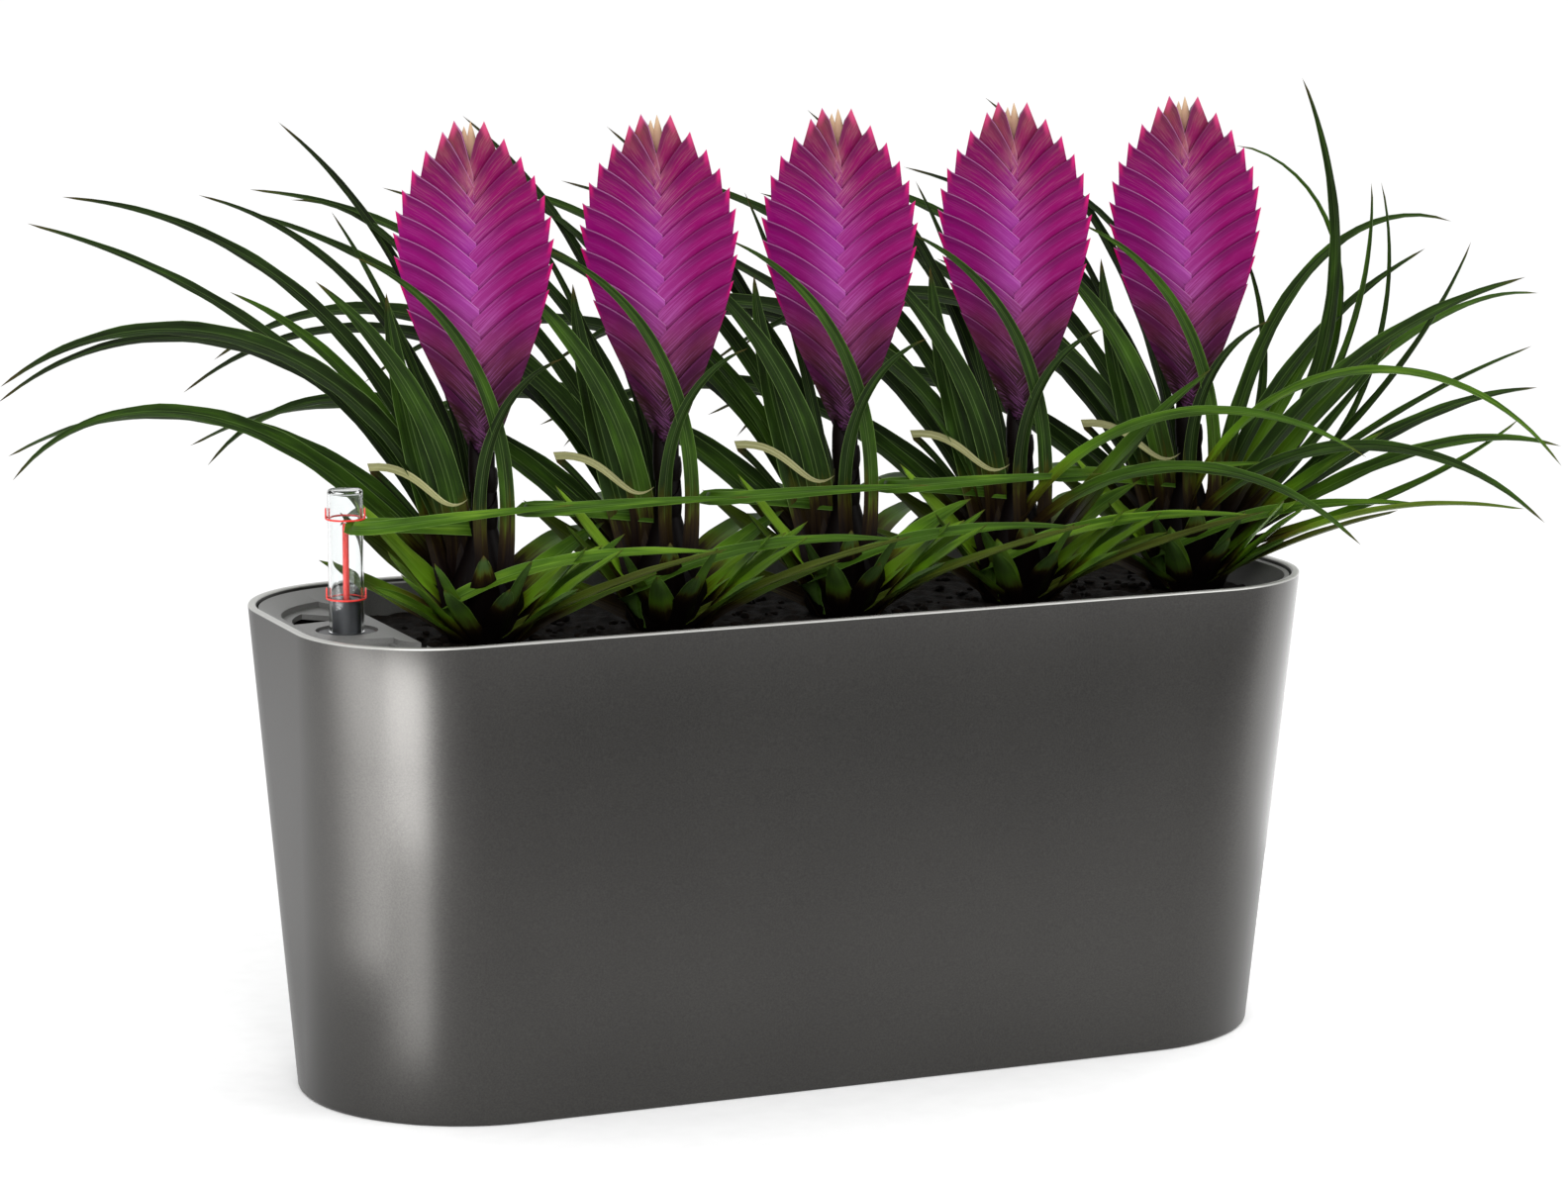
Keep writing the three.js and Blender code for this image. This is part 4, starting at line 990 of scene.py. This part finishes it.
def add_sheath(shape, x, low, turn):
    """A scale wrapped round the stalk, higher at one side, where it ends in a point."""
    rows = []
    steps = 20
    for level in (0, 0.35, 0.7, 0.92, 1):
        ring = []
        for step in range(steps):
            angle = 2 * math.pi * step / steps
            lift = 0.5 + 0.5 * math.cos(angle)
            z = low + SHEATH_HEIGHT * level * (0.45 + 0.55 * lift ** 2)
            radius = STALK_RADIUS + 0.0006 + 0.0007 * (1 - abs(2 * level - 1))
            ring.append((x + radius * math.cos(angle + turn), radius * math.sin(angle + turn), z))
        rows.append(ring)
    inner = [(x + (px - x) * 0.85, py * 0.85, pz - 0.0004) for px, py, pz in rows[-1]]
    shape.add(*lofted([*rows, inner]), reach=0.004, light=0.15, own=0.2 + 0.1 * math.sin(turn))


def make_rosette(plant, leaves, material):
    seeded = random.Random(plant + 11)
    shape = Shape("along", "reach", "foot", "across", "under", "light", "dry", "own")
    add_stem(shape, PLANT_X[plant])
    for leaf, path in leaves:
        add_leaf(shape, path, leaf.length, leaf.light, leaf.dry, leaf.dark, seeded)
    path = curl_path(PLANT_X[plant])
    add_leaf(shape, path, CURL_LENGTH, 0.15, smoothstep(path[0], 0.42, 0.5), 0, seeded)
    return shape.made(f"rosette_{plant + 1}", material, sharp=70)


# Flower heads

def head_depth(out, height, half):
    """How far the head's face stands out from its middle plane, where the head is half wide to each side."""
    t = height / HEAD_HEIGHT
    ridge = STALK_RADIUS + RIDGE_SWELL * t - RIDGE_TAPER * t * t
    return ridge * (1 - np.minimum(np.abs(out) / half, 1) ** RIDGE_CURVE)


def bract_edge(number, side, shares):
    """Points across and up along a bract's upper edge, from the head's middle line to the notch beside its
    tip, and the tip."""
    place = (number + (0.5 if side > 0 else 0)) / (BRACTS_A_SIDE + 0.5)
    tip_height = HEAD_HEIGHT * place ** BRACT_CROWDING - BRACT_BELOW
    tip_out = max(float(head_half_width(tip_height / HEAD_HEIGHT)), BRACT_LEAST_OUT)
    drop = BRACT_DROP * min(1, tip_height / FULL_DROP_HEIGHT)
    tooth = min(1, number / FULL_TOOTH_NUMBER)
    notch_out = tip_out - TOOTH_OUT - TOOTH_MORE_OUT * tooth
    notch_height = tip_height - TOOTH_UP - (TOOTH_UP + TOOTH_TOP_UP * place ** 3) * tooth
    out = lerp(-BRACT_PAST, notch_out, shares)
    height = lerp(tip_height - drop, notch_height, shares)
    height = height + BRACT_ARCH * shares * (1 - shares) * (tip_out / HEAD_HALF_WIDTH)
    return out, height, tip_out, tip_height


def upper_line(number, side, shares):
    """A bract's upper edge with its pointed tip, from the middle line to the outline."""
    body = np.minimum(shares / TOOTH_START, 1)
    out, height, tip_out, tip_height = bract_edge(number, side, body)
    tooth = np.maximum((shares - TOOTH_START) / (1 - TOOTH_START), 0)
    return lerp(out, tip_out, tooth), lerp(height, tip_height, tooth ** 1.25)


def lower_line(number, side, shares):
    """Where a bract comes out from under the one below it, or from the stalk."""
    if number == 1:
        return lerp(-BRACT_PAST, STALK_RADIUS, shares), np.zeros(len(shares))
    out, height, _, _ = bract_edge(number - 1, side, shares)
    return out, np.maximum(height - BRACT_UNDER * (1 - 0.5 * shares), 0)


def bract_front(number, side, shares, levels):
    """Rows of points on a bract's front, from its lower line to its upper one."""
    low_out, low_height = lower_line(number, side, shares)
    high_out, high_height = upper_line(number, side, shares)
    out = lerp(low_out, high_out, levels)
    height = lerp(low_height, high_height, levels)
    half = np.maximum(head_half_width(height / HEAD_HEIGHT), STALK_RADIUS + 0.0003)
    swell = lerp(-0.0013, 0.0008, levels) + 0.0004 * np.sin(np.pi * levels)
    depth = head_depth(out, height, half) + swell * smoothstep(height, 0.0, 0.012)
    depth = np.maximum(depth, 0.0002) * (1 - shares ** 7)
    return np.stack([side * out, -depth, height], axis=-1)


def add_bract(shape, number, side):
    """A closed wedge folded over the head's middle: its front and back meet at the outline."""
    shares = np.linspace(0, 1, 17)
    levels = np.linspace(0, 1, 8)[:, None]
    front = bract_front(number, side, shares, levels)
    rings = np.concatenate([front, front[:, -2::-1] * (1, -1, 1)], axis=1)
    count = rings.shape[1]
    faces = ring_faces(len(rings), count)
    last = (len(rings) - 1) * count
    for column in range(len(shares) - 1):
        end = list(dict.fromkeys([column, column + 1, count - 2 - column, count - 1 - column]))
        faces += [[last + place for place in end], end[::-1]]
    if side < 0:
        faces = [face[::-1] for face in faces]
    shape.add(
        rings.reshape(-1, 3), faces,
        side=side,
        across=np.tile(np.concatenate([shares, shares[-2::-1]]), len(rings)),
        up=np.repeat(levels[:, 0], count),
        height=rings[:, :, 2].ravel() / HEAD_HEIGHT,
        own=(number * 0.37 + side * 0.21) % 1,
    )


def add_bud(shape):
    """The last, still closed bracts at the head's top."""
    turns = np.radians(np.arange(0, 360, 30))
    for middle, low, top, wide in ((-0.0022, 0.098, 0.1195, 0.0036), (0.0012, 0.1, 0.1212, 0.003)):
        rings = []
        for level in (0, 0.3, 0.6, 0.8, 0.92):
            size = (1 - level ** 2.2) * wide
            x = middle * (1 - 0.3 * level) + size * np.cos(turns)
            z = np.full(len(turns), lerp(low, top, level))
            rings.append(np.column_stack([x, 0.45 * size * np.sin(turns), z]))
        points = np.concatenate([*rings, [(middle * 0.7, 0, top)]])
        faces = ring_faces(len(rings), len(turns), tip=True) + [list(reversed(range(len(turns))))]
        shape.add(points, faces, side=0.0, across=0.1, up=0.6, height=points[:, 2] / HEAD_HEIGHT, own=0.3)


def turn_matrix(angle, first, second):
    """A turn by an angle from one axis towards another."""
    matrix = np.eye(3)
    matrix[first, first] = matrix[second, second] = math.cos(angle)
    matrix[second, first] = math.sin(angle)
    matrix[first, second] = -math.sin(angle)
    return matrix


def make_head(plant, material):
    """A flower head of overlapping bracts with its bud, turned to its side and leant."""
    shape = Shape("side", "across", "up", "height", "own")
    for number in range(1, BRACTS_A_SIDE + 1):
        for side in (-1, 1):
            add_bract(shape, number, side)
    add_bract(shape, BRACTS_A_SIDE + 0.6, -1)
    add_bud(shape)
    turn = turn_matrix(math.radians(FACE), 0, 1) @ turn_matrix(math.radians(-HEAD_LEAN), 2, 0)
    shape.points = [points @ turn.T + (PLANT_X[plant], 0, HEAD_FOOT) for points in shape.points]
    return shape.made(f"head_{plant + 1}", material, sharp=38)


# Materials

def lacquer():
    """Charcoal lacquer with a fine metallic grain, and a painted highlight as a lighter line round the rim.
    """
    look = Look("charcoal_lacquer")
    place = look.place()
    grain = look.noise(place, 1500, 2)
    tone = look.weighed(look.noise(place, 14, 3), 0.25, grain, 0.75)
    base = look.ramp(tone, (0.3, "3b3a39"), (0.7, "464543"))
    # Painted highlight: the top of the rim is lightened where its rounded edge catches the light.
    rim = look.spread(look.height(place), HEIGHT - 0.0009, HEIGHT - 0.0004, 0.0, 0.8)
    look.bump(grain, 0.00004, 0.2)
    return look.finish(Base_Color=look.mix(rim, base, colour("c6c6c2")), Metallic=0.85,
                       Roughness=look.spread(tone, 0.2, 0.8, 0.35, 0.42))


def moulded(name, dark, light):
    """Moulded plastic with a fine spark-eroded grain."""
    look = Look(name)
    place = look.place()
    grain = look.noise(place, 1900, 2)
    tone = look.weighed(grain, 0.5, look.noise(place, 22, 3), 0.5)
    look.bump(grain, 0.00005, 0.3)
    return look.finish(Base_Color=look.ramp(tone, (0.3, dark), (0.7, light)),
                       Roughness=look.spread(tone, 0.2, 0.8, 0.4, 0.52))


def clear_plastic():
    """Clear tube with a faint unevenness from moulding."""
    look = Look("clear_plastic")
    haze = look.noise(look.place(), 160, 2)
    look.bump(haze, 0.00003, 0.2)
    return look.finish(Base_Color=colour("fafcfc"), Transmission_Weight=1.0, IOR=1.25,
                       Roughness=look.spread(haze, 0.3, 0.7, 0.01, 0.05))


def red_plastic():
    """Bright red plastic with a faint grain."""
    look = Look("red_plastic")
    grain = look.noise(look.place(), 900, 3)
    look.bump(grain, 0.00004, 0.2)
    return look.finish(Base_Color=look.ramp(grain, (0.3, "cf2b26"), (0.7, "e03a31")),
                       Roughness=look.spread(grain, 0.3, 0.7, 0.3, 0.42))


def soil():
    """Near black potting soil of crumbs and fibres."""
    look = Look("soil")
    place = look.place()
    fibres = look.noise(place, 260, 6, 0.7)
    tone = look.weighed(fibres, 0.8, look.cells(place, 420), 0.35)
    base = look.ramp(tone, (0.25, "050403"), (0.55, "0e0a07"), (0.8, "1e150e"))
    look.bump(tone, 0.0012, 0.9)
    return look.finish(Base_Color=base, Roughness=look.spread(fibres, 0.2, 0.8, 0.8, 1.0),
                       Specular_IOR_Level=0.1)


def granulate():
    """Small dusty balls of fired clay."""
    look = Look("granulate")
    place = look.place()
    balls = look.cells(place, 190)
    dust = look.noise(place, 700, 4)
    tone = look.weighed(dust, 0.5, balls, 0.6)
    look.bump(look.times(balls, -1), 0.003, 1.0)
    return look.finish(Base_Color=look.ramp(tone, (0.2, "6b442c"), (0.5, "9a6a4a"), (0.8, "b98c68")),
                       Roughness=look.spread(dust, 0.2, 0.8, 0.85, 1.0))


def foot_colour(look, foot):
    """Dark purple at the very foot, and yellow-green further up."""
    return look.ramp(look.times(foot, 10), (0.0, "080404"), (0.2, "100806"), (0.3, "241a08"),
                     (0.4, "4e500c"), (0.55, "6a9a18"))


def leaf_look():
    """Deep green blades with pale margins and fine veins, on dark feet, and dry in places."""
    look = Look("leaf")
    along, reach, across, under = look.marks("along", "reach", "across", "under")
    light, dry, own, foot = look.marks("light", "dry", "own", "foot")
    veins = look.noise(look.stretched((across, reach, own), (14, 14, 1)), 1.0, 4)
    blotches = look.noise(look.stretched((across, reach, own), (1.4, 42, 30)), 1.0, 3)
    tone = look.swayed(look.swayed(light, blotches, 0.75), veins, 0.4)
    green = look.ramp(tone, (0.0, "0a1003"), (0.3, "1c2e0b"), (0.6, "355310"), (1.0, "688a22"))
    faded = look.mix(look.times(under, 0.3), green, colour("56703f"))
    aside = look.math("ABSOLUTE", across)
    margin = look.spread(aside, 0.92, 0.99, 0.0, 0.4)
    beside = look.math("ABSOLUTE", look.math("SUBTRACT", aside, 0.16))
    midrib = look.spread(beside, 0.0, 0.06, 0.18, 0.0)
    lines = look.times(look.math("MAXIMUM", margin, midrib), look.spread(under, 0.2, 0.8, 1.0, 0.3))
    lined = look.mix(lines, faded, colour("80a058"))
    foot = look.swayed(look.swayed(foot, blotches, 0.03), veins, 0.02)
    vivid = look.spread(light, 0.3, 0.75)
    grown = look.mix(vivid, look.spread(foot, 0.03, 0.042), look.spread(foot, 0.04, 0.075))
    fresh = look.mix(grown, foot_colour(look, foot), lined)
    withered = look.ramp(veins, (0.3, "2c1c0e"), (0.55, "54401c"), (0.75, "7d6a34"))
    tan = look.ramp(veins, (0.3, "66643c"), (0.55, "8e8e64"), (0.75, "b8b694"))
    straw = look.mix(look.spread(dry, 0.6, 1.0), withered, tan)
    brown = look.times(dry, look.spread(blotches, 0.25, 0.6, 0.75, 1.0))
    end = look.spread(along, 0.93, 1.0, 0.0, 0.6)
    whole = look.mix(look.math("MAXIMUM", brown, end), fresh, straw)
    look.bump(look.weighed(veins, 0.7, lines, 0.5), 0.0003, 0.5)
    return look.finish(Base_Color=whole, Roughness=look.spread(veins, 0.3, 0.7, 0.4, 0.55),
                       Specular_IOR_Level=0.07)


def bract_body(look, side, across, height, streaks):
    """Colour over a bract: paler inside, redder on the right as painted shade, with pale streaks from its
    middle.
    """
    rise = look.swayed(height, look.noise(look.place(), 120, 3), 0.1)
    outer = look.ramp(rise, (0.0, "140a0e"), (0.15, "2a1414"), (0.3, "521a36"), (0.45, "740a5a"),
                      (0.7, "7a045c"), (0.86, "6a0c48"), (0.96, "783640"))
    inner = look.ramp(rise, (0.0, "170c12"), (0.15, "30181c"), (0.3, "66284c"), (0.45, "86327e"),
                      (0.64, "802678"), (0.78, "7a2666"), (0.88, "966258"), (0.97, "b69878"))
    body = look.mix(look.spread(look.swayed(across, streaks, 0.25), 0.02, 0.55), inner, outer)
    # Painted shade: the right-hand bracts, on the side away from the key light, are mixed towards a deeper
    # red.
    right_side_shade = look.times(look.spread(side, 0.0, 1.0, 0.0, 0.45), look.spread(height, 0.25, 0.5))
    body = look.mix(right_side_shade, body, colour("700040"))
    pale = look.times(look.spread(streaks, 0.45, 0.7), look.spread(across, 0.05, 0.6, 0.36, 0.1))
    return look.mix(pale, body, look.ramp(height, (0.6, "b064ae"), (0.8, "bc9484"), (0.95, "c8b494")))


def bract_look():
    """Bracts that run from near black at the foot through violet to red-pink tips, and cream at the top."""
    look = Look("bract")
    side, across, up, height, own = look.marks("side", "across", "up", "height", "own")
    streaks = look.noise(look.stretched((across, up, own), (3, 26, 40)), 1.0, 4)
    body = bract_body(look, side, across, height, streaks)
    # Painted shade: a darker band just under each bract's upper edge, stronger towards the outline.
    below = look.times(look.spread(up, 0.6, 0.9, 0.0, 0.5), look.spread(across, 0.1, 0.5))
    shaded = look.mix(below, body, colour("3e0838"))
    tips = look.times(look.spread(across, 0.88, 0.97), look.spread(height, 0.3, 0.5))
    tips = look.times(tips, look.spread(up, 0.4, 0.85))
    tipped = look.mix(tips, shaded, look.ramp(height, (0.5, "a80458"), (0.86, "ac1c60"), (1.0, "b04466")))
    # Painted highlight: a pale line along each bract's upper edge where it catches the light, strong on the
    # left side and faint on the right.
    edge = look.times(look.spread(up, 0.955, 0.99, 0.0, 0.55), look.spread(height, 0.2, 0.45))
    edge = look.times(edge, look.spread(side, -1.0, 1.0, 1.0, 0.15))
    look.bump(streaks, 0.00025, 0.5)
    return look.finish(Base_Color=look.mix(edge, tipped, colour("b478a8")),
                       Roughness=look.spread(streaks, 0.3, 0.7, 0.42, 0.55), Specular_IOR_Level=0.06)


def matt(name, scale, detail, dark, light):
    """Matt paper or card with faint fibres."""
    look = Look(name)
    fibres = look.noise(look.place(), scale, detail)
    return look.finish(Base_Color=look.ramp(fibres, (0.3, dark), (0.7, light)), Roughness=0.9)


# Stage

def make_sheet(name, material, left, right, front, back, level):
    """A flat sheet that lies level."""
    shape = Shape()
    shape.add([(left, front, level), (right, front, level), (right, back, level), (left, back, level)],
              [[0, 1, 2, 3]])
    return shape.made(name, material)


def make_stage():
    """The white floor and the even light of the studio."""
    paper = matt("paper", 90, 4, "f8f8f8", "fcfcfc")
    make_sheet("floor", paper, -FLOOR_SIZE, FLOOR_SIZE, -FLOOR_SIZE, FLOOR_SIZE, 0)
    world = bpy.data.worlds.new("studio")
    world.use_nodes = True
    world.node_tree.nodes["Background"].inputs["Color"].default_value = (1, 1, 1, 1)
    world.node_tree.nodes["Background"].inputs["Strength"].default_value = WORLD_STRENGTH
    bpy.context.scene.world = world
    bpy.context.scene.view_settings.view_transform = "Standard"


def add_panel(name, place, facing, along, width, height, power, spread=180):
    """A soft panel with its width along one direction, that shines towards another within an angle."""
    data = bpy.data.lights.new(name, "AREA")
    data.shape = "RECTANGLE"
    data.size, data.size_y = width, height
    data.energy = power
    data.spread = math.radians(spread)
    across = Vector(along).normalized()
    behind = -(Vector(facing) - across * across.dot(Vector(facing))).normalized()
    lamp = bpy.data.objects.new(name, data)
    lamp.location = place
    lamp.rotation_euler = Matrix((across, behind.cross(across), behind)).transposed().to_euler()
    lamp.visible_camera = False
    bpy.context.scene.collection.objects.link(lamp)


def add_strip(name, foot, top, facing, width, power):
    """A narrow upright panel close to the shell, that its rounded corner mirrors as a band. It shines at the
    corner alone, so that the flat front stays dark."""
    along = Vector(top) - Vector(foot)
    middle = (Vector(foot) + Vector(top)) / 2
    add_panel(name, middle, facing, along, along.length, width, power, STRIP_SPREAD)


def make_lights():
    """A key and a fill light from the front, a glow at each end, and strips by the left front corner."""
    add_panel("key", (-0.75, -1.3, 0.85), (0.75, 1.3, -0.65), (1.3, -0.75, 0), 1.0, 0.8, 13)
    add_panel("fill", (0.9, -1.0, 0.6), (-0.9, 1.0, -0.4), (1.0, 0.9, 0), 0.9, 0.7, 5)
    add_panel("left_glow", (-0.32, 0.08, 0.09), (1, -0.3, 0), (0.3, 1, 0), 0.2, 0.16, 0.03)
    add_panel("right_glow", (0.36, 0.07, 0.09), (-1, -0.15, 0), (0.15, -1, 0), 0.44, 0.16, 0.4)
    add_strip("left_strip", (-0.21, -0.076, 0), (-0.206, -0.109, 0.165), (0.64, 0.77, 0), 0.042, 0.034)
    add_strip("upper_strip", (-0.208, -0.0925, 0.09), (-0.206, -0.109, 0.17), (0.64, 0.77, 0), 0.042, 0.018)
    add_strip("wide_strip", (-0.236, -0.02, 0.05), (-0.236, -0.05, 0.18), (0.95, 0.3, 0), 0.1, 0.07)


def make_card():
    """A grey card on the floor in front of the view, that only the shell mirrors, towards its rim."""
    grey = matt("grey_card", 60, 3, "6c6c6c", "747474")
    card = make_sheet("grey_card", grey, -0.6, 1.4, -1.9, -0.32, 0.002)
    card.visible_camera = False
    card.visible_diffuse = False
    card.visible_shadow = False
    card.visible_transmission = False


def make_camera():
    data = bpy.data.cameras.new("camera")
    data.sensor_width = SENSOR_WIDTH
    data.lens = CAMERA_LENS
    camera = bpy.data.objects.new("camera", data)
    camera.location = CAMERA_PLACE
    camera.rotation_euler = (math.radians(90 - CAMERA_PITCH), 0, math.radians(-CAMERA_YAW))
    bpy.context.scene.collection.objects.link(camera)
    bpy.context.scene.camera = camera


# The whole part

def stand_for(piece, node, body="planter"):
    """Puts a piece in the place of a CAD node."""
    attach(piece, body)
    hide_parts(node)


make_stage()
make_lights()
make_card()
make_camera()

red = red_plastic()
stand_for(make_shell(lacquer()), "planter_shell")
stand_for(make_liner(moulded("liner_plastic", "5e5e5c", "70706e")), "liner")
stand_for(make_housing(moulded("dark_plastic", "26272a", "34353a")), "indicator_housing")
stand_for(make_tube(clear_plastic()), "indicator_tube")
stand_for(make_mark("lower_mark", LOWER_MARK, red), "indicator_lower_mark")
stand_for(make_mark("upper_mark", UPPER_MARK, red), "indicator_upper_mark")
stand_for(make_float(red), "indicator_float", "float")

earth = soil()
surface = make_soil(earth)
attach(surface, "planter")
finished(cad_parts["substrate"], earth, 40)
finished(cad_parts["drainage_granulate"], granulate(), 40)

blade = leaf_look()
for plant, leaves in all_leaves().items():
    stand_for(make_rosette(plant, leaves, blade), f"plant_{plant + 1}_rosette")

petal = bract_look()
for plant in range(len(PLANT_X)):
    stand_for(make_head(plant, petal), f"plant_{plant + 1}_flower_head")
